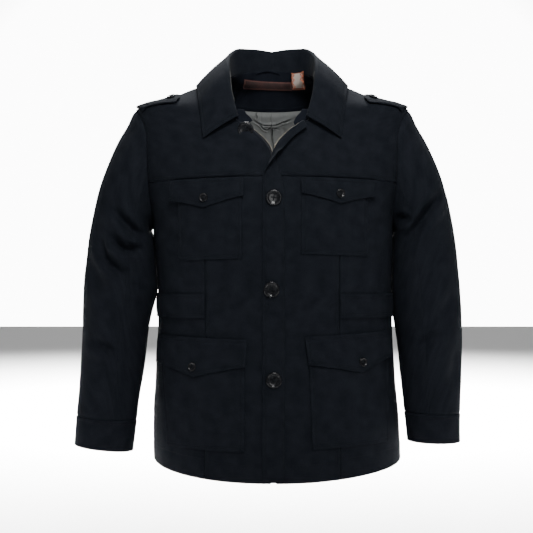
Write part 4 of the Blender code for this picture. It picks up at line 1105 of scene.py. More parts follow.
def sleeveGrid(side, steps, rings):
    turn, ring = np.meshgrid(armholeTurn * steps, rings)
    point, middle = sleevePoint(side, turn, ring)
    # the head of the sleeve is a little full just below the armhole seam
    height, fullest, breadth = sleeves["head"]
    full = height * np.exp(-(((ring - fullest) / breadth) ** 2)) * np.clip(np.cos(turn) + 0.35, 0, 1)
    front, back = (
        creaseDepth(sleeveCreases[side, face], point[..., 0], point[..., 2]) for face in ("front", "back")
    )
    creased = sleeves["creases"] * np.where(np.sin(turn) > 0, front, back)
    begin, cease = sleeves["creaseRings"]
    creased = creased * np.minimum(1, abs(np.sin(turn)) * 1.7)
    creased = creased * blend(*begin, ring) * (1 - blend(*cease, ring))
    soft = softNoise(point + sleeves["shift"][side], *sleeves["soft"]) * blend(0.2, 1.5, ring)
    return point + unit(point - middle) * (full - creased + soft)[..., None], middle


def gridNormals(points, outwards):
    normal = unit(np.cross(np.gradient(points, axis=1), np.gradient(points, axis=0)))
    flip = (normal * outwards).sum(-1) < 0
    normal[flip] *= -1
    return normal


def drawnWall(outer, inner, *draws):
    for amount, sides in draws:
        outer, inner = drawnIn(outer, amount, sides), drawnIn(inner, amount, sides)
    return outer, inner


def makeSleevePart(side, part):
    first, last, cut, area = sleeves["parts"][part]
    steps = first + (last - first) * cuts(sleeves["stepWidth"] * (last - first), sleeves["across"])
    rings = cuts(*sleeves["sleeve"]) * sleeves["cuffRing"]
    point, middle = sleeveGrid(side, steps, rings)
    distances = edgeDistances(point)
    sides = {"left": "pressed", "right": "pressed", "bottom": "seam", "top": "seam"}
    normal = gridNormals(point, point - middle)
    outer = point + normal * seamLift(distances, sides)[..., None]
    # it rests against the body below the underarm
    whole = toSide(outer, side)
    resting = (clearOfTorso(whole, sleeves["restGap"]) - whole) * blend(0.8, 2.2, rings)[:, None, None]
    outer = outer + toSide(resting, side)
    inner = outer - normal * cloth["thick"]
    # its first millimetres lie on the armhole's edge
    place = armholePlace(steps)
    base, way = onTorso(place), torsoNormal(place[:, 0], place[:, 1])
    stand = bodyLift(toSide(base, side))[:, None]
    near = (1 - blend(0.0, 0.012, distances["bottom"]))[..., None]
    outer = outer + near * (base + way * (stand - 0.0010) - outer[0])
    inner = inner + near * (base + way * (stand - cloth["thick"]) - inner[0])
    outer, inner = roundedRim(outer, inner, distances, sides)
    draws = (cloth["seamGap"] / 2, ("top",)), (sleeves["pressedGap"], ("left", "right"))
    outer, inner = drawnWall(outer, inner, *draws)
    piece = clothShell(f"sleeve{part}{side.title()}", toSide(outer, side), toSide(inner, side), distances)
    dress(piece, woolCloth, (f"sleeve_{part.lower()}_{side}",))


def makeCuff(side):
    rings = sleeves["cuffRing"] + cuts(*sleeves["cuff"])
    point, middle = sleeveGrid(side, np.linspace(5, 29, sleeves["columns"] + 1), rings)
    distances = edgeDistances(point)
    normal = gridNormals(point, point - middle)
    normal[:, 0] = normal[:, -1] = unit(normal[:, 1] + normal[:, -2])
    sides = {"bottom": "stitched", "top": "free"}
    outer = point + normal * seamLift(distances, sides)[..., None]
    outer, inner = roundedRim(outer, outer - normal * cloth["thick"], distances, sides)
    outer, inner = drawnWall(outer, inner, (cloth["seamGap"] / 2, ("bottom",)))
    outer[:, -1], inner[:, -1] = outer[:, 0], inner[:, 0]
    outer, inner = toSide(outer, side), toSide(inner, side)
    keepStitches(outer, inner, distances, "bottom")
    piece = clothShell(f"cuff{side.title()}", outer, inner, distances, closed=True)
    dress(piece, woolCloth, (f"cuff_{side}",))


for side in ("left", "right"):
    for part in sleeves["parts"]:
        makeSleevePart(side, part)
    makeCuff(side)
print("sleeves made")

# collar
collar = {
    # the roll line and the outer edge of half the collar, from its front end to the centre back
    "stations": [
        (0, 0.0635, -0.1190, -0.0700, 0.1215, -0.1150, -0.1075),
        (1, 0.0710, -0.1090, -0.0430, 0.1250, -0.1070, -0.0880),
        (2, 0.0775, -0.0940, -0.0130, 0.1265, -0.0960, -0.0680),
        (3, 0.0805, -0.0760, 0.0160, 0.1300, -0.0720, -0.0400),
        (4, 0.0820, -0.0520, 0.0360, 0.1335, -0.0420, -0.0180),
        (5, 0.0825, -0.0040, 0.0530, 0.1360, -0.0030, -0.0040),
        (6, 0.0795, 0.0340, 0.0660, 0.1180, 0.0420, 0.0010),
        (7, 0.0610, 0.0640, 0.0800, 0.0840, 0.0720, 0.0060),
        (8, 0.0330, 0.0830, 0.0815, 0.0440, 0.0920, 0.0100),
        (9, 0.0000, 0.0910, 0.0780, 0.0000, 0.0980, 0.0120),
    ],
    "lie": cloth["layerGap"] + 0.0008,
    "fold": 0.0012,
    "bulge": 0.0035,
    "soft": (0.05, 31.0, 0.0010),
    "foot": 0.0014,
    "fall": 0.060,
    "step": 0.0045,
    "fallStep": 0.0040,
    # rows up the stand, as shares of it, and the number round the fold
    "standRows": (0, 0.01, 0.03, 0.07, 0.14, 0.24, 0.36, 0.48, 0.6, 0.72, 0.84, 0.93),
    "foldRows": 11,
    "rim": 0.0016,
    "cut": (0.760, 0.110),
}
lastStation = collar["stations"][-1][0]
readCollar = smoothReader(collar["stations"])


def necklinePlace(station):
    # stations 0 to 5 run up the front's neckline, the others along half the back's
    station = np.asarray(station, float)
    xs, zs = np.array(body["neckFront"][::-1]).T
    side = len(xs) - 1
    x, z = (np.interp(station, np.arange(len(xs)), values) for values in (xs, zs))
    front = pair(np.where(readTorso(z)[..., 0] > x, placeAcross(x, z), math.pi / 2), z)
    behind = neckBackPlace(0.5 * (station - side) / (lastStation - side))
    return np.where((station >= side)[..., None], behind, front)


def collarHalf(stations, fallRows):
    # hidden and shown faces of half the collar, a row for each place from the seam to the edge
    row = readCollar(stations)
    roll, edge = row[:, :3], clearOfTorso(row[:, 3:], collar["lie"], settle=True)
    places = necklinePlace(stations)
    seam, normal = onTorso(places), torsoNormal(places[:, 0], places[:, 1])
    ahead = onTorso(necklinePlace(np.minimum(stations + 0.05, lastStation)))
    along = ahead - onTorso(necklinePlace(np.maximum(stations - 0.05, 0)))
    intoNeck = unit(np.cross(normal, along))
    intoNeck *= np.where(intoNeck[:, 2:] < 0, -1, 1)
    foot = seam + intoNeck * collar["foot"]
    up = unit(roll - foot)
    away = edge - roll
    away = unit(away - up * (away * up).sum(-1, keepdims=True))
    thick, fold = cloth["collarThick"], collar["fold"]
    middle = roll - up * (fold + thick)
    fall = unit(edge - middle)
    end = np.arctan2((fall * away).sum(-1), (fall * up).sum(-1))[:, None]
    stand = middle - away * fold
    hidden = [foot + (stand - foot) * share for share in collar["standRows"]]
    shown = [point - away * thick for point in hidden]
    for share in np.linspace(0, 1, collar["foldRows"]):
        way = up * np.sin(end * share) - away * np.cos(end * share)
        hidden.append(middle + way * fold)
        shown.append(middle + way * (fold + thick))
    start, out = hidden[-1], unit(shown[-1] - hidden[-1])
    length = np.linalg.norm(edge - start, axis=-1, keepdims=True)
    # the rows near the edge keep their distance from it, and the others share out the rest
    nearEdge = fallRows[fallRows > 0.8][0]
    border = collar["fall"] * (1 - nearEdge)
    for share in fallRows[1:]:
        fromEdge = (1 - share) * collar["fall"]
        kept, spread = 1 - fromEdge / length, share / nearEdge * (1 - border / length)
        share = kept if share >= nearEdge else spread
        point = start + (edge - start) * share + out * collar["bulge"] * np.sin(math.pi * share)
        soft = softNoise(point, *collar["soft"]) * np.sin(math.pi * np.clip(share[:, 0], 0, 1))
        point = clearOfTorso(point + out * soft[:, None], collar["lie"])
        hidden.append(point)
        shown.append(point + out * thick)
    return np.array(hidden), np.array(shown)


def makeCollar():
    dense = np.linspace(0, lastStation, 600)
    row = readCollar(dense)
    length = runningLength((row[:, :3] + row[:, 3:]) / 2)
    marks = cuts(2 * length[-1], collar["step"]) * 2 * length[-1]
    half = marks[: (len(marks) + 1) // 2]
    half[-1] = length[-1]
    faces = []
    for face in collarHalf(np.interp(half, length, dense), cuts(collar["fall"], collar["fallStep"])[6:]):
        face[:, -1, 0] = 0.0
        faces.append(np.concatenate([face, toSide(face, "right")[:, -2::-1]], 1))
    hidden, shown = faces
    distances = edgeDistances(shown)
    sides = {"left": "edge", "right": "edge", "top": "edge"}
    grooved = shown + unit(shown - hidden) * seamLift(distances, sides)[..., None]
    outer, inner = roundedRim(grooved, hidden, distances, tuple(sides), width=collar["rim"])
    for side in sides:
        keepStitches(outer, inner, distances, side)
    piece = clothShell("collarLeaf", outer, inner, distances)
    dress(piece, woolCloth, ("collar",))
    return outer, inner


collarFaces = makeCollar()
print("collar made")

# the buttoned band
placket = {
    "over": 0.0200,
    "band": 0.0195,
    "bandStep": 0.003,
    "seamStitch": 0.0025,
    "step": 0.0040,
    "endGap": 0.002,
    "topDrop": 0.006,
    "cut": (0.042, 0.640),
    # along the V the band narrows and rolls back over itself
    "foldLow": -0.200,
    "narrows": 0.85,
    "rollBack": 0.0060,
    "rollHeights": (-0.150, -0.105),
    "slant": 0.42,
    "slantLow": -0.110,
    # how far it turns back at each height, in degrees
    "turnHeights": (-0.220, -0.165, -0.145, -0.125, -0.095, -0.070),
    "turnAngles": (60, 105, 130, 162, 172, 172),
    "roll": 0.0075,
    "rollRows": (13, 0.0009),
    "sway": (0.03, 12.0, 0.0016),
    "rim": 0.0016,
}


def makePlacket():
    thick = cloth["thick"]
    lie = cloth["layerGap"] + thick / 2
    endZ = body["collarEnd"][1]
    foot = body["hemFront"] + placket["endGap"]
    length = endZ - placket["topDrop"] - foot
    heights = foot + length * cuts(length, placket["step"])
    back = placket["rollBack"] * blend(*placket["rollHeights"], heights)
    places = frontEdgePlace(heights, 1, back)
    line, normal = onTorso(places), torsoNormal(places[:, 0], places[:, 1])
    low, high = (onTorso(frontEdgePlace(heights + step, 1, back)) for step in (-0.002, 0.002))
    # over points from the edge to the wearer's right, and slants beside the V
    over = unit(np.cross(unit(high - low), normal))
    over *= np.where(over[:, :1] > 0, -1, 1)
    slant = placket["slant"] * blend(placket["slantLow"], endZ, heights)[:, None]
    over = unit(over - np.array([0, 0, 1]) * slant * np.where(over[:, 2:] < 0, 1, -1))
    # the fold runs slantwise from the band's edge to the foot of the V
    turned = blend(placket["foldLow"], body["vFoot"], heights)[:, None]
    turn = np.radians(np.interp(heights, placket["turnHeights"], placket["turnAngles"]))[:, None]
    flat = placket["over"] * (1 - turned)
    band = placket["band"] * (1 - placket["narrows"] * turned)
    middle, ways = [], []
    shares = 1 - 2 * cuts(placket["band"] * 2, placket["bandStep"])[:16]
    for share in shares[shares >= 0.02]:
        middle.append(clearOfTorso(line - over * band * share, lie))
        ways.append(outsideTorso(middle[-1])[1])
    at = clearOfTorso(line, lie)
    done = 0.0
    rows, pitch = placket["rollRows"]
    beside = placket["over"] - np.array(cloth["edgeMarks"][-2::-1])
    for reach in (*(np.arange(rows) * pitch), *beside):
        angle = turn * np.clip(((done + reach) / 2 - flat) / placket["roll"], 0, 1)
        at = at + (over * np.cos(angle) + normal * np.sin(angle)) * (reach - done)
        endAngle = turn * np.clip((reach - flat) / placket["roll"], 0, 1)
        middle.append(clearOfTorso(at, lie))
        ways.append(normal * np.cos(endAngle) - over * np.sin(endAngle))
        done = reach
    middle, ways = np.stack(middle, 1), unit(np.stack(ways, 1))
    lift = bodyLift(middle - normal[:, None] * lie) * (1 - turned)
    sway = softNoise(middle, *placket["sway"]) * turned * np.linspace(0, 1, middle.shape[1])[None]
    middle = middle + normal[:, None] * lift[..., None] + ways * sway[..., None]
    distances = edgeDistances(middle)
    sides = {"left": "seam", "right": "stitched", "top": "free", "bottom": "edge"}
    outer = middle + ways * (thick / 2 + seamLift(distances, sides))[..., None]
    outer, inner = roundedRim(outer, middle - ways * thick / 2, distances, sides, width=placket["rim"])
    keepStitches(outer, inner, distances, "left", inset=placket["seamStitch"])
    keepStitches(outer, inner, distances, "right")
    piece = clothShell("buttonBand", outer, inner, distances)
    dress(piece, woolCloth, ("placket",))


makePlacket()
print("placket made")

# pockets, flaps and half belts
pockets = {
    # how far across the sides are at the top and at the bottom, and the corners' heights
    ("chest", "right"): (-0.0530, -0.1650, -0.0530, -0.1650, -0.196, -0.201, -0.3200, -0.3240),
    ("chest", "left"): (0.0500, 0.1680, 0.0500, 0.1680, -0.194, -0.198, -0.3120, -0.3160),
    ("lower", "right"): (-0.0470, -0.2000, -0.0484, -0.1850, -0.486, -0.480, -0.6560, -0.6500),
    ("lower", "left"): (0.0630, 0.2070, 0.0690, 0.2050, -0.482, -0.472, -0.6510, -0.6430),
}
flaps = {
    # the same, with the place of the flap's point
    ("chest", "right"): (
        -0.0490, -0.1780, -0.0500, -0.1780, -0.1785, -0.1840, -0.2120, -0.2180, -0.1180, -0.2315,
    ),
    ("chest", "left"): (0.0490, 0.1800, 0.0500, 0.1780, -0.1780, -0.1815, -0.2070, -0.2110, 0.1170, -0.2245),
    ("lower", "right"): (
        -0.0430, -0.2020, -0.0465, -0.2030, -0.4620, -0.4560, -0.5100, -0.5060, -0.1370, -0.5280,
    ),
    ("lower", "left"): (0.0560, 0.2040, 0.0620, 0.2085, -0.4570, -0.4490, -0.5060, -0.4960, 0.1550, -0.5200),
}
pocketForm = {
    # fullness inside a pocket, and where it rises from its edges
    "full": (0.0010, (0.008, 0.030)),
    # size, seed and height of the puckers along its edges, and where they fade
    "puckers": ((0.009, 40.0, 0.0006), (0.006, 0.014)),
    "flapGrid": (0.050, 0.0034),
    "flapBend": 1.25,
    # the flap rises over the pocket's edge, and its lower corners lift
    "rise": (0.0, 0.012),
    "lift": (0.0022, 0.030, (0.010, 0.035)),
    "roll": (0.0006, (0.004, 0.02)),
    "gap": 0.0002,
}
allEdges = {"left": "edge", "right": "edge", "bottom": "edge", "top": "edge"}
allFree = {"left": "free", "right": "free", "bottom": "free", "top": "free"}
pocketCreases = {
    ("lower", "right"): [
        ([(-0.058, -0.592), (-0.090, -0.606), (-0.122, -0.620)], 0.0080, 0.0026),
        ([(-0.150, -0.560), (-0.160, -0.600), (-0.158, -0.635)], 0.0100, 0.0012),
        ([(-0.070, -0.545), (-0.085, -0.570), (-0.082, -0.600)], 0.0120, 0.0012),
    ],
    ("lower", "left"): [
        ([(0.095, -0.560), (0.105, -0.600), (0.098, -0.640)], 0.0110, 0.0014),
        ([(0.165, -0.550), (0.172, -0.595), (0.160, -0.630)], 0.0100, 0.0014),
    ],
    ("chest", "right"): [
        ([(-0.075, -0.245), (-0.110, -0.262), (-0.150, -0.255)], 0.0120, 0.0010),
        ([(-0.145, -0.240), (-0.138, -0.275), (-0.150, -0.312)], 0.0090, 0.0010),
    ],
    ("chest", "left"): [
        ([(0.070, -0.240), (0.105, -0.258), (0.145, -0.250)], 0.0120, 0.0010),
        ([(0.150, -0.235), (0.142, -0.270), (0.152, -0.305)], 0.0090, 0.0010),
    ],
}


def pocketPlaces(pocket, u, v):
    inner, outer, lowInner, lowOuter, topIn, topOut, bottomIn, bottomOut = pocket
    u, v = u[None], v[:, None]
    innerZ, outerZ = bottomIn + (topIn - bottomIn) * v, bottomOut + (topOut - bottomOut) * v
    innerAngle = placeAcross(lowInner + (inner - lowInner) * v, innerZ)
    outerAngle = placeAcross(lowOuter + (outer - lowOuter) * v, outerZ)
    return pair(innerAngle + (outerAngle - innerAngle) * u, innerZ + (outerZ - innerZ) * u)


def flapPlaces(flap, u, v):
    # v runs from the top to the lower edge, which comes to a point
    inner, outer, lowInner, lowOuter, topIn, topOut, lowIn, lowOut, pointX, pointZ = flap
    middle = (pointX - inner) / (outer - inner)
    near = u <= middle
    share = np.where(near, u / middle, (1 - u) / (1 - middle))
    sideX, sideLow = np.where(near, inner, outer), np.where(near, lowInner, lowOuter)
    edge = np.where(near, lowIn, lowOut)
    xTop = sideX + (pointX - sideX) * share
    xLow = sideLow + (pointX - sideLow) * share
    top = topIn + (topOut - topIn) * (xTop - inner) / (outer - inner)
    low = edge + (pointZ - edge) * share ** pocketForm["flapBend"]
    v = v[:, None]
    x, z = xTop + (xLow - xTop) * v, top + (low - top) * v
    return pair(placeAcross(x, z), z)


def layPiece(name, node, places, sides, thick, out, lift):
    # a small piece of wool cloth that lies on the body
    piece, _ = torsoPiece(name, places, sides, thick, out=out + thick, lift=lift, gap=False)
    dress(piece, woolCloth, (node,))


def makePocket(kind, side):
    inner, outer, _, _, top, _, foot, _ = pockets[kind, side]
    lines = cuts(abs(outer - inner), cloth["fineStep"]), cuts(top - foot, cloth["fineStep"])
    places = pocketPlaces(pockets[kind, side], *lines)
    if side == "right":
        places = flippedColumns(places)
    full, rise = pocketForm["full"]
    puckers, fade = pocketForm["puckers"]

    def soften(base, distances):
        border = np.minimum.reduce([distances[edge] for edge in ("left", "right", "bottom")])
        creased = creaseDepth(pocketCreases[kind, side], base[..., 0], base[..., 2])
        puckered = softNoise(base, *puckers) * (1 - blend(*fade, border))
        return (full - creased) * blend(*rise, border) + puckered

    lie = cloth["layerGap"] * (1 if kind == "chest" else 2)
    layPiece(
        f"{kind}Pocket{side.title()}", f"{kind}_pocket_{side}", places, {**allEdges, "top": "free"},
        cloth["pocketThick"], lie, soften,
    )


def makeFlap(kind, side):
    inner, outer, *_, pointX, _ = flaps[kind, side]
    columns = cuts(abs(outer - inner), cloth["fineStep"], breaks=((pointX - inner) / (outer - inner),))
    places = flapPlaces(flaps[kind, side], columns, 1 - cuts(*pocketForm["flapGrid"])[::-1])
    if side == "right":
        places = flippedColumns(places)
    overPocket = cloth["layerGap"] + cloth["pocketThick"] + pocketForm["gap"]
    height, low, fade = pocketForm["lift"]
    roll, away = pocketForm["roll"]

    def drop(base, distances):
        foot, top = distances["bottom"], distances["top"]
        corner = height * blend(low, 0.0, foot) * (0.6 + 0.4 * np.cos(base[..., 0] * 150)) * blend(*fade, top)
        off = pocketForm["gap"] + overPocket * blend(*pocketForm["rise"], top)
        return off + corner + roll * blend(*away, foot)

    lie = cloth["layerGap"] * (1 if kind == "chest" else 2)
    layPiece(
        f"{kind}Flap{side.title()}", f"{kind}_flap_{side}", places[::-1], allEdges,
        cloth["thick"], lie, drop,
    )


belts = {
    "top": -0.3820,
    "height": 0.0430,
    "thick": 0.0018,
    "backAngle": math.radians(118),
    "grid": (0.20, 0.0045),
    "start": body["panelSeam"] + 0.0005,
    # how far it stands off, and how much fuller it is inside its edges
    "lift": (0.0003, 0.0012, (0.004, 0.016)),
    "cut": (0.250, 0.045),
}


def makeBelt(side):
    sign = 1 if side == "left" else -1
    start = float(placeAcross(sign * belts["start"], belts["top"]))
    angles = start + (sign * belts["backAngle"] - start) * cuts(*belts["grid"])
    heights = belts["top"] - belts["height"] * (1 - cuts(belts["height"], cloth["fineStep"]))
    places = pair(*np.meshgrid(angles, heights))
    if side == "right":
        places = flippedColumns(places)
    off, full, rise = belts["lift"]

    def lift(base, distances):
        return off + full * blend(*rise, distances["top"]) * blend(*rise, distances["bottom"])

    name, node = f"belt{side.title()}", f"belt_{side}"
    layPiece(name, node, places, allEdges, belts["thick"], cloth["layerGap"], lift)


for kind, side in pockets:
    makePocket(kind, side)
    makeFlap(kind, side)
makeBelt("left")
makeBelt("right")
print("pockets and belts made")

# epaulets
epaulets = {
    "setback": 0.0035,
    "tip": 0.1660,
    "length": 0.080,
    "width": 0.0480,
    "middle": (-0.014, -0.048),
    "lie": 0.0012,
    "raised": 0.0008,
    # it narrows a little along its length, and then to its rounded tip
    "narrows": 0.12,
    "tipNarrows": (0.62, 0.86, 1.6),
    # heights between which the top of the shoulder is looked for, and the number of halvings
    "heights": (-0.075, 0.03),
    "halvings": 40,
    "button": 0.80,
    "cut": (0.085, 0.050),
}


def topOfShoulder(x, y):
    low, high = (np.full(np.shape(x), height) for height in epaulets["heights"])
    for _ in range(epaulets["halvings"]):
        middle = (low + high) / 2
        inside = torsoLevel(np.stack([x, y, middle], -1)) < 0
        low, high = np.where(inside, middle, low), np.where(inside, high, middle)
    return np.stack([x, y, low], -1)


def epauletPoint(share, across, out):
    share, across = np.broadcast_arrays(np.asarray(share, float), np.asarray(across, float))
    tipShare, tipFrom, tipBend = epaulets["tipNarrows"]
    narrowing = (1 - epaulets["narrows"] * share) * (1 - tipShare * blend(tipFrom, 1.0, share) ** tipBend)
    first, last = epaulets["middle"]
    half = epaulets["width"] / 2 * across
    y = first + (last - first) * share + half * narrowing
    step = np.arcsin(-(first + half) / body["armholeDepth"]) / armholeTurn
    start = onTorso(armholePlace(step))[..., 0] - epaulets["setback"]
    return clearOfTorso(topOfShoulder(start + (epaulets["tip"] - start) * share, y), out)


def makeEpaulet(side):
    across = cuts(epaulets["width"], cloth["fineStep"]) * 2 - 1
    share = cuts(epaulets["length"], cloth["fineStep"])
    low = epaulets["lie"] + epaulets["raised"]
    outer, inner = (
        toSide(epauletPoint(share[:, None], across[None], out), side) for out in (low + cloth["thick"], low)
    )
    distances = edgeDistances(outer)
    kinds = {"left": "edge", "right": "edge", "top": "edge", "bottom": "free"}
    outer = outer + unit(outer - inner) * seamLift(distances, kinds)[..., None]
    for edge in ("left", "right", "top"):
        keepStitches(outer, inner, distances, edge)
    outer, inner = roundedRim(outer, inner, distances, kinds)
    piece = clothShell(f"epaulet{side.title()}", outer, inner, distances)
    dress(piece, woolCloth, (f"epaulet_{side}",))


makeEpaulet("left")
makeEpaulet("right")
print("epaulets made")

# buttons
buttons = {
    # radius and thickness
    "large": (0.0140, 0.0042),
    "small": (0.0080, 0.0034),
    "front": [(0.0025, -0.2150), (-0.0015, -0.3735), (0.0025, -0.5315)],
    # the open one's place, how far it leans back and how far it is pressed in
    "open": (-0.0470, -0.0930),
    "openLean": (0, 0, -0.32),
    "openPressed": 0.0010,
    # how far above each flap's point its button is
    "flapHeights": {"chest": 0.0175, "lower": 0.0180},
    # half the turned outline in shares of radius and thickness: a rim round a dished middle
    "outline": [
        (0.0, 0.0), (0.80, 0.0), (0.93, 0.12), (1.0, 0.34), (1.0, 0.62), (0.965, 0.84), (0.90, 0.97),
        (0.84, 0.985), (0.78, 0.93), (0.73, 0.78), (0.66, 0.66), (0.50, 0.60), (0.25, 0.58), (0.0, 0.575),
    ],
    "facets": 48,
    # holes and thread, in the same shares
    "hole": 0.24,
    "holeRadii": (0.085, 0.075),
    "holeHeight": (0.585, 0.02),
    "thread": 0.030,
    "threadPitch": 0.045,
    "threadHeight": (0.60, 0.14),
}


def makeButton(name, node, point, normal, size, turn):
    radius, thick = buttons[size]
    way = Vector(normal).to_track_quat("Z", "Y").to_matrix().to_4x4()
    place = Matrix.Translation(point) @ way @ Matrix.Rotation(turn, 4, "Z")
    bm = bmesh.new()
    verts = [bm.verts.new((r * radius, 0, z * thick)) for r, z in buttons["outline"]]
    edges = [bm.edges.new(ends) for ends in zip(verts, verts[1:])]
    bmesh.ops.spin(
        bm, geom=verts + edges, cent=(0, 0, 0), axis=(0, 0, 1), angle=2 * math.pi,
        steps=buttons["facets"], use_merge=True,
    )
    bmesh.ops.remove_doubles(bm, verts=bm.verts, dist=1e-6)
    bmesh.ops.recalc_face_normals(bm, faces=bm.faces)
    bm.transform(place)
    dress(finishedPiece(name, bm, sharp=40), buttonHorn, (node,))
    # four holes with crossed thread, three strands each way; each hole is a thin near-black disc on the dish,
    # painted shade in place of a hollow
    spot = radius * buttons["hole"]
    height, deep = buttons["holeHeight"]
    holes, threads = bmesh.new(), bmesh.new()
    for x, y in ((spot, spot), (spot, -spot), (-spot, spot), (-spot, -spot)):
        low, high = (radius * share for share in buttons["holeRadii"])
        bmesh.ops.create_cone(
            holes, cap_ends=True, segments=14, radius1=low, radius2=high, depth=thick * deep,
            matrix=Matrix.Translation((x, y, thick * height)),
        )
    height, rise = buttons["threadHeight"]
    for y in (spot, -spot):
        start, end = Vector((spot, y, thick * height)), Vector((-spot, -y, thick * height))
        top = (start + end) / 2 + Vector((0, 0, thick * rise))
        beside = Vector((start.y - end.y, end.x - start.x, 0)).normalized() * radius * buttons["threadPitch"]
        for strand in (-1, 0, 1):
            for a, b in ((start, top), (top, end)):
                addThread(threads, a + beside * strand, b + beside * strand, radius * buttons["thread"])
    for part, mesh, material in (("HoleShades", holes, holeShadeDark), ("Thread", threads, threadTwist)):
        mesh.transform(place)
        dress(finishedPiece(name + part, mesh), material)


def buttonPlace(x, z):
    place = pair(placeAcross(x, z), z)
    return onTorso(place), torsoNormal(place[0], place[1])


def buttonOn(name, node, x, z, out, size, turn):
    point, normal = buttonPlace(x, z)
    lift = float(bodyLift(point[None])[0])
    makeButton(name, node, point + normal * (out + lift), normal, size, turn)


def makeButtons():
    band = cloth["layerGap"] + cloth["thick"] + 0.0008
    for number, (x, z) in enumerate(buttons["front"], 2):
        buttonOn(f"buttonFront{number}", f"button_front_{number}", x, z, band, "large", 0.3 * number)
    point, normal = buttonPlace(*buttons["open"])
    leaning = unit(normal + np.array(buttons["openLean"]))
    point = point - normal * buttons["openPressed"]
    makeButton("buttonFront1", "button_front_1", point, leaning, "large", 0.7)
    flapOut = 2 * cloth["layerGap"] + cloth["thick"] + cloth["pocketThick"] + 0.0012
    for side in ("left", "right"):
        for kind, up in buttons["flapHeights"].items():
            x, z = flaps[kind, side][-2:]
            out = flapOut + (0 if kind == "chest" else cloth["layerGap"])
            buttonOn(f"{kind}Button{side.title()}", f"button_{kind}_{side}", x, z + up, out, "small", 0.2)
        point = epauletPoint(epaulets["button"], 0.0, 2 * epaulets["lie"] + cloth["thick"])
        way = outsideTorso(point)[1]
        name, node = f"epauletButton{side.title()}", f"button_epaulet_{side}"
        makeButton(name, node, toSide(point, side), toSide(way, side), "small", 0.4)


makeButtons()
print("buttons made")

# zip
zipper = {
    "tapeThick": 0.0014,
    "tapeWidth": 0.0120,
    "middleGap": 0.0003,
    "step": 0.006,
    "footGap": 0.012,
    "topGap": 0.003,
    "rim": 0.0008,
    # the teeth: spacing, size, distance from the tape's edge and height over it
    "pitch": 0.0022,
    "tooth": (0.0017, 0.0014, 0.0018),
    "toothIn": 0.0006,
    "toothOut": 0.0002,
    "closedIn": 0.0002,
    # how far each side stands out into the V, left and right of the wearer
    "openShift": {1: 0.0044, -1: 0.0018},
    "opening": 0.015,
    "cut": (0.013, 0.640),
}


def makeZip():
    foot, top = body["hemFront"] + zipper["footGap"], body["collarEnd"][1] - zipper["topGap"]
    out = -cloth["thick"] - 2 * cloth["layerGap"]
    toothMesh = bmesh.new()
    for name, node, side in (("zipLeft", "zip_left", 1), ("zipRight", "zip_right", -1)):

        def edgeAt(heights, aside, ahead=0.0):
            opening = blend(body["vFoot"], body["vFoot"] + zipper["opening"], heights)
            return frontEdgePlace(heights + ahead, side, aside - zipper["openShift"][side] * opening)

        heights = foot + (top - foot) * cuts(0.62, zipper["step"])
        gap = zipper["middleGap"]
        asides = gap + (zipper["tapeWidth"] - gap) * np.linspace(0, 1, 9)[::side]
        places = np.stack([edgeAt(heights, aside) for aside in asides], 1)
        base, normal = onTorso(places), torsoNormal(places[..., 0], places[..., 1])
        distances = edgeDistances(base)
        outer = base + normal * (out + bodyLift(base))[..., None]
        inner = outer - normal * zipper["tapeThick"]
        outer, inner = roundedRim(outer, inner, distances, ("left", "right"), width=zipper["rim"])
        dress(clothShell(name, outer, inner, distances), tapeCloth, (node,))
        count = int((top - foot) / zipper["pitch"])
        stagger = 0.0 if side > 0 else 0.5
        spots = foot + (np.arange(count) + stagger) * zipper["pitch"]
        # the closed teeth reach a little over the middle
        inwards = zipper["closedIn"] * (np.clip((spots - body["vFoot"]) * 200, 0, 1) - 1)
        edgePlaces = edgeAt(spots, zipper["toothIn"])
        edge, ahead = onTorso(edgePlaces), onTorso(edgeAt(spots, zipper["toothIn"], ahead=0.001))
        inside = onTorso(edgeAt(spots, zipper["toothIn"] + 0.0030))
        height = out + bodyLift(edge) + zipper["toothOut"]
        spot = edge + torsoNormal(edgePlaces[:, 0], edgePlaces[:, 1]) * height[:, None]
        for k in range(count):
            along, away = Vector(unit(ahead[k] - edge[k])), Vector(unit(inside[k] - edge[k]))
            turn = Matrix((away, along, away.cross(along).normalized())).transposed().to_4x4()
            move = Matrix.Translation(Vector(spot[k]) + away * inwards[k])
            matrix = move @ turn @ Matrix.Diagonal((*zipper["tooth"], 1))
            bmesh.ops.create_cube(toothMesh, size=1.0, matrix=matrix)
    bmesh.ops.bevel(toothMesh, geom=toothMesh.edges[:], offset=0.00025, segments=1, affect="EDGES")
    dress(finishedPiece("zipTeeth", toothMesh, sharp=30), zipBrass)


makeZip()
print("zip made")

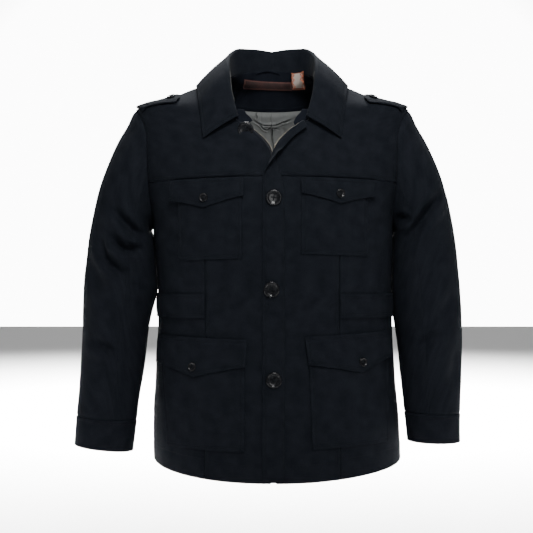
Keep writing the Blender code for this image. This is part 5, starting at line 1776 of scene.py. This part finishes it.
# the inside of the neck
neck = {
    # the facing's lower edge, its upper end, its half width and how round its lower corners are
    "facingFoot": -0.0355,
    "facingTop": 0.006,
    "facingHalf": 0.100,
    "facingRound": 0.45,
    "facingGrid": ((0.24, 0.004), (0.070, 0.004)),
    # nothing of the neck's inside comes nearer the front than this
    "shy": 97,
    "depth": cloth["thick"] + 0.0020,
    "liningDepth": cloth["thick"] + 0.0045,
    "frontDepth": cloth["thick"] + 0.0036,
    "follow": 0.3,
    # where the collar covers the fronts' facings: heights and distances from the middle
    "underCollar": ((-0.0920, -0.0740, -0.0500, -0.0240), (0.0600, 0.0740, 0.0800, 0.0830)),
    # each label's left, right, foot and top, and its side, lower and upper borders
    "label": (-0.0570, 0.0405, 0.0070, 0.0195),
    "labelBorder": (0.0022, 0.0026, 0.0020),
    "sizeLabel": (0.0413, 0.0655, 0.0070, 0.0330),
    "sizeBorder": (0.0018, 0.0048, 0.0014),
    "labelThick": 0.0006,
    "labelTilt": -0.035,
    # how far each label and its inner face lie off the facing
    "labelOut": 0.0014,
    "labelFaceOut": 0.0019,
    "sizeFaceOut": 0.0021,
    # columns of the small label's grid that its zigzag runs between, at each side, and its thread
    "zigzag": ((1, 7), (-2, -8)),
    "zigzagOut": (0, 0.0018, 0),
    "zigzagRadius": 0.0009,
    # the hanging loop's ends across, its foot, its rise and its width
    "loop": (-0.0340, 0.0170, 0.0318, 0.0066, 0.0030),
    "loopThick": 0.0014,
    "loopOut": (0.0012, 0.0022),
    # heights between which a light tape shows at each side, and how far it lies off the collar
    "tapes": {"left": (0.010, 0.018), "right": (-0.040, 0.018)},
    "tapeOut": 0.0010,
    "tapeThick": 0.0006,
    # the lining's side edges: their heights, and how they turn back above the underarm
    "liningHeights": (
        -0.672, -0.600, -0.520, -0.440, -0.370, -0.310, -0.260, -0.220, -0.180, -0.140, -0.100, -0.070,
    ),
    "liningTurn": 30,
    "liningShoulder": ((120, -0.052), (112, -0.036), (107, -0.018)),
    "tucked": (0.0022, 0.001, 0.008),
    "creases": 1.25,
    "liningCut": (0.560, 0.650),
    "facingCut": (0.240, 0.065),
    "labelCut": (0.100, 0.018),
    "sizeLabelCut": (0.026, 0.036),
}
liningCreases = [
    # the pleat's fold down the middle and the faint line beside it
    (
        [(-0.0029, -0.030), (-0.0012, -0.057), (0.0010, -0.071),
         (0.0010, -0.085), (0.0045, -0.107), (0.006, -0.170)],
        0.0008, 0.0042,
    ),
    ([(-0.0305, -0.032), (-0.0300, -0.040), (-0.0290, -0.052)], 0.0008, 0.0026),
    ([(-0.0215, -0.036), (-0.0210, -0.044), (-0.0215, -0.052)], 0.0014, 0.0006),
    # two swags across it
    (
        [(-0.0430, -0.0420), (-0.0355, -0.0495), (-0.0191, -0.0570), (-0.0079, -0.0578),
         (0.0098, -0.0570), (0.0195, -0.0530), (0.0334, -0.0495), (0.0480, -0.0450)],
        0.0013, 0.0038,
    ),
    (
        [(-0.0300, -0.0520), (-0.0218, -0.0586), (-0.0149, -0.0654), (-0.0095, -0.0671),
         (-0.0025, -0.0613), (0.0058, -0.0619), (0.0150, -0.0670)],
        0.0012, 0.0038,
    ),
    ([(0.020, -0.0600), (0.026, -0.0720), (0.018, -0.0950)], 0.0040, 0.0012),
    ([(-0.022, -0.0700), (-0.014, -0.0900), (-0.010, -0.1200)], 0.0040, 0.0012),
    ([(-0.150, -0.1200), (-0.110, -0.2200), (-0.120, -0.3500)], 0.0120, 0.0030),
    ([(0.150, -0.1300), (0.120, -0.2500), (0.130, -0.4000)], 0.0120, 0.0030),
    ([(0.060, -0.2600), (0.040, -0.4200), (0.055, -0.6000)], 0.0120, 0.0025),
    ([(-0.060, -0.3000), (-0.045, -0.4500), (-0.070, -0.6200)], 0.0120, 0.0025),
]
# where the fronts' facings show beside the V: height and distance from the middle of their inner edges
facingEdges = {
    "left": [(-0.0920, 0.0440), (-0.0768, 0.0378), (-0.0664, 0.0425), (-0.0570, 0.0508), (-0.0510, 0.0535)],
    "right": [
        (-0.0865, 0.0520), (-0.0786, 0.0425), (-0.0733, 0.0350),
        (-0.0665, 0.0400), (-0.0600, 0.0466), (-0.0520, 0.0505),
    ],
}


def beyondShoulder(places, rise=0.0):
    shy = math.radians(neck["shy"])
    return pair(np.clip(places[..., 0], shy, 2 * math.pi - shy), places[..., 1] + rise)


def backPlace(x, height):
    return pair(math.pi - placeAcross(x, height), height)


def facingPlace(share):
    share = np.asarray(share, float)
    dip = np.sin(math.pi * np.clip(share, 0, 1)) ** neck["facingRound"]
    height = neck["facingTop"] + (neck["facingFoot"] - neck["facingTop"]) * dip
    return beyondShoulder(backPlace(neck["facingHalf"] * np.cos(math.pi * share), height))


def straight(first, last):
    first, last = np.asarray(first, float), np.asarray(last, float)
    return lambda at: first + (last - first) * np.asarray(at, float)[..., None]


def insidePiece(
    name, places, depth, sides=allFree, thick=cloth["liningThick"], follow=neck["follow"], lift=None
):
    # a free wall of cloth on the inner side of the coat
    return torsoPiece(name, places, sides, thick, out=-depth, lift=lift, follow=follow, gap=False)


def makeFacings():
    top = lambda u: beyondShoulder(neckBackPlace(u), 0.0022)
    left, right = (straight(facingPlace(end), top(end)) for end in (0.0, 1.0))
    columns, rows = (cuts(*grid) for grid in neck["facingGrid"])
    places = fillIn(facingPlace, top, left, right, columns, rows)
    piece, _ = insidePiece("neckFacing", places, neck["depth"], {**allFree, "bottom": "edge"})
    dress(piece, facingCloth, ("neck_facing",))
    for side, sign in (("left", 1), ("right", -1)):
        edgeHeights, edge = np.array(facingEdges[side]).T
        heights = np.linspace(edgeHeights[0], edgeHeights[-1], 40)[:, None]
        inner = np.interp(heights, edgeHeights, edge)
        outer = np.interp(heights, *neck["underCollar"])
        places = pair(placeAcross(sign * (inner + (outer - inner) * np.linspace(0, 1, 16)), heights), heights)
        if side == "right":
            places = flippedColumns(places)
        piece, _ = insidePiece(f"frontFacing{side.title()}", places, neck["frontDepth"])
        dress(piece, facingCloth)


def makeLining():
    turnBack = lambda z: float(blend(body["underarm"] - 0.02, armholeMiddle, z))
    left = [(math.radians(neck["shy"] + neck["liningTurn"] * turnBack(z)), z) for z in neck["liningHeights"]]
    left += [(math.radians(angle), z) for angle, z in neck["liningShoulder"]]
    topEdge = lambda u: beyondShoulder(facingPlace(u), -0.0005)
    left.append(tuple(topEdge(0.0)))
    right = [(2 * math.pi - angle, z) for angle, z in left]
    # close together where the lining shows
    columns = [np.linspace(0, 0.28, 13)[:-1], np.linspace(0.28, 0.72, 112), np.linspace(0.72, 1, 13)[1:]]
    rows = [np.linspace(0, 0.60, 34)[:-1], np.linspace(0.60, 1, 66)]
    places = fillIn(
        straight(left[0], right[0]), topEdge, throughPlaces(left), throughPlaces(right),
        np.concatenate(columns), np.concatenate(rows),
    )

    def fold(base, distances):
        tuck, near, far = neck["tucked"]
        creased = creaseDepth(liningCreases, base[..., 0], base[..., 2])
        return tuck * (1 - blend(near, far, distances["top"])) + neck["creases"] * creased

    piece, _ = insidePiece("liningBack", places, neck["liningDepth"], lift=fold)
    dress(piece, liningCloth, ("lining_back",))


def labelPiece(name, box, out, material, nodes=()):
    left, right, foot, top = box
    x, z = np.meshgrid(np.linspace(left, right, 30), np.linspace(foot, top, 14))
    tilt = neck["labelTilt"] * (x + 0.01) * (x < neck["sizeLabel"][0])
    wave = lambda base, distances: 0.0004 * np.sin(base[..., 0] * 240) * np.cos(base[..., 2] * 160)
    depth = neck["depth"] + cloth["liningThick"] + out
    places = backPlace(x, z + tilt)
    piece, inner = insidePiece(name, places, depth, thick=neck["labelThick"], follow=0.0, lift=wave)
    dress(piece, material, nodes)
    return inner


def makeLabels():
    left, right, foot, top = neck["label"]
    nodes, cut = ("neck_label",), neck["labelCut"]
    labelPiece("neckLabel", neck["label"], neck["labelOut"], labelCloth, nodes)
    side, low, high = neck["labelBorder"]
    face = left + side, right - side, foot + low, top - high
    labelPiece("neckLabelFace", face, neck["labelFaceOut"], labelDark)
    left, right, foot, top = neck["sizeLabel"]
    nodes, cut = ("size_label",), neck["sizeLabelCut"]
    base = labelPiece("sizeLabel", neck["sizeLabel"], neck["labelOut"], baseCloth, nodes)
    side, low, high = neck["sizeBorder"]
    face = left + side, right - side, foot + low, top - high
    labelPiece("sizeLabelFace", face, neck["sizeFaceOut"], sizeCloth)
    # zigzag stitches over both sides of the small label
    bm = bmesh.new()
    for first, second in neck["zigzag"]:
        column = [base[row, second if row % 4 == 3 else first] - neck["zigzagOut"] for row in range(1, 14, 2)]
        for start, end in zip(column, column[1:]):
            addThread(bm, start, end, neck["zigzagRadius"])
    dress(finishedPiece("labelZigzag", bm), zigzagThread)


def makeLoop():
    # the loop that the coat hangs by, on the seam of the stand
    first, last, foot, rise, width = neck["loop"]
    along, across = np.meshgrid(np.linspace(0, 1, 40), np.linspace(-0.5, 0.5, 6))
    arch = np.sin(math.pi * along)
    places = backPlace(first + (last - first) * along, foot + rise * arch**0.8 + width * across)
    low, high = neck["loopOut"]
    depth = neck["depth"] + low + high * arch
    piece, _ = insidePiece("hangerLoop", places, depth, thick=neck["loopThick"], follow=0.0)
    dress(piece, facingCloth)


def makeNeckTapes():
    # a light tape that shows beside the stand, more of it at the wearer's right
    shown, hidden = collarFaces
    away = unit(shown - hidden)
    guide = shown[11]
    for side, (low, high) in neck["tapes"].items():
        near = (toSide(guide, side)[:, 0] > 0) & (guide[:, 1] < -0.030)
        near = near & (guide[:, 2] > low) & (guide[:, 2] < high)
        spots = np.s_[6:12, np.flatnonzero(near)]
        outer = shown[spots] + away[spots] * neck["tapeOut"]
        inner = outer - away[spots] * neck["tapeThick"]
        piece = clothShell(f"neckTape{side.title()}", outer, inner, edgeDistances(outer))
        dress(piece, edgeTape)


makeFacings()
makeLining()
makeLabels()
makeLoop()
makeNeckTapes()
print("neck made")

# top stitching
stitching = {
    "pitch": 0.0034,
    "length": 0.0024,
    "radius": 0.00024,
    "flatness": 1.2,
    "out": 0.00012,
    # rings of a stitch along it, in shares of its length and radius
    "rings": ((-0.5, 0.35), (-0.32, 1.0), (0.32, 1.0), (0.5, 0.35)),
    "facets": 4,
}


def stitchTemplate():
    # places along, across and out of the cloth, and the faces between them
    count, radius = stitching["facets"], stitching["radius"]
    turns = 2 * math.pi * np.arange(count) / count
    places = [
        (x * stitching["length"], r * math.cos(t) * radius * stitching["flatness"], r * math.sin(t) * radius)
        for x, r in stitching["rings"]
        for t in turns
    ]
    faces = []
    for first in range(0, count * (len(stitching["rings"]) - 1), count):
        for j in range(count):
            near, far = first + j, first + (j + 1) % count
            faces.append([near, far, far + count, near + count])
    faces.append(list(range(count))[::-1])
    faces.append(list(range(len(places) - count, len(places))))
    return np.array(places), faces


def readLine(values, reach, spots):
    return np.stack([np.interp(spots, reach, column) for column in values.T], -1)


def makeStitches():
    # one joined mesh of short rounded stitches along every kept line
    template, faces = stitchTemplate()
    allVerts, allFaces = [], []
    for points, normals in stitchLines:
        reach = runningLength(points)
        count = int(reach[-1] / stitching["pitch"])
        spots = (np.arange(count) + 0.5) * stitching["pitch"]
        half = stitching["length"] / 2
        along = unit(readLine(points, reach, spots + half) - readLine(points, reach, spots - half))
        normal = readLine(normals, reach, spots)
        normal = unit(normal - along * (normal * along).sum(-1, keepdims=True))
        centre = readLine(points, reach, spots) + normal * stitching["out"]
        ways = np.stack([along, np.cross(normal, along), normal], 1)
        for k in range(count):
            first = len(allVerts) * len(template)
            allVerts.append(centre[k] + template @ ways[k])
            allFaces.extend([first + v for v in face] for face in faces)
    mesh = bpy.data.meshes.new("topStitching")
    mesh.from_pydata(np.concatenate(allVerts).tolist(), [], allFaces)
    mesh.shade_smooth()
    dress(linked("topStitching", mesh), threadTwist)


makeStitches()
print("stitching made")
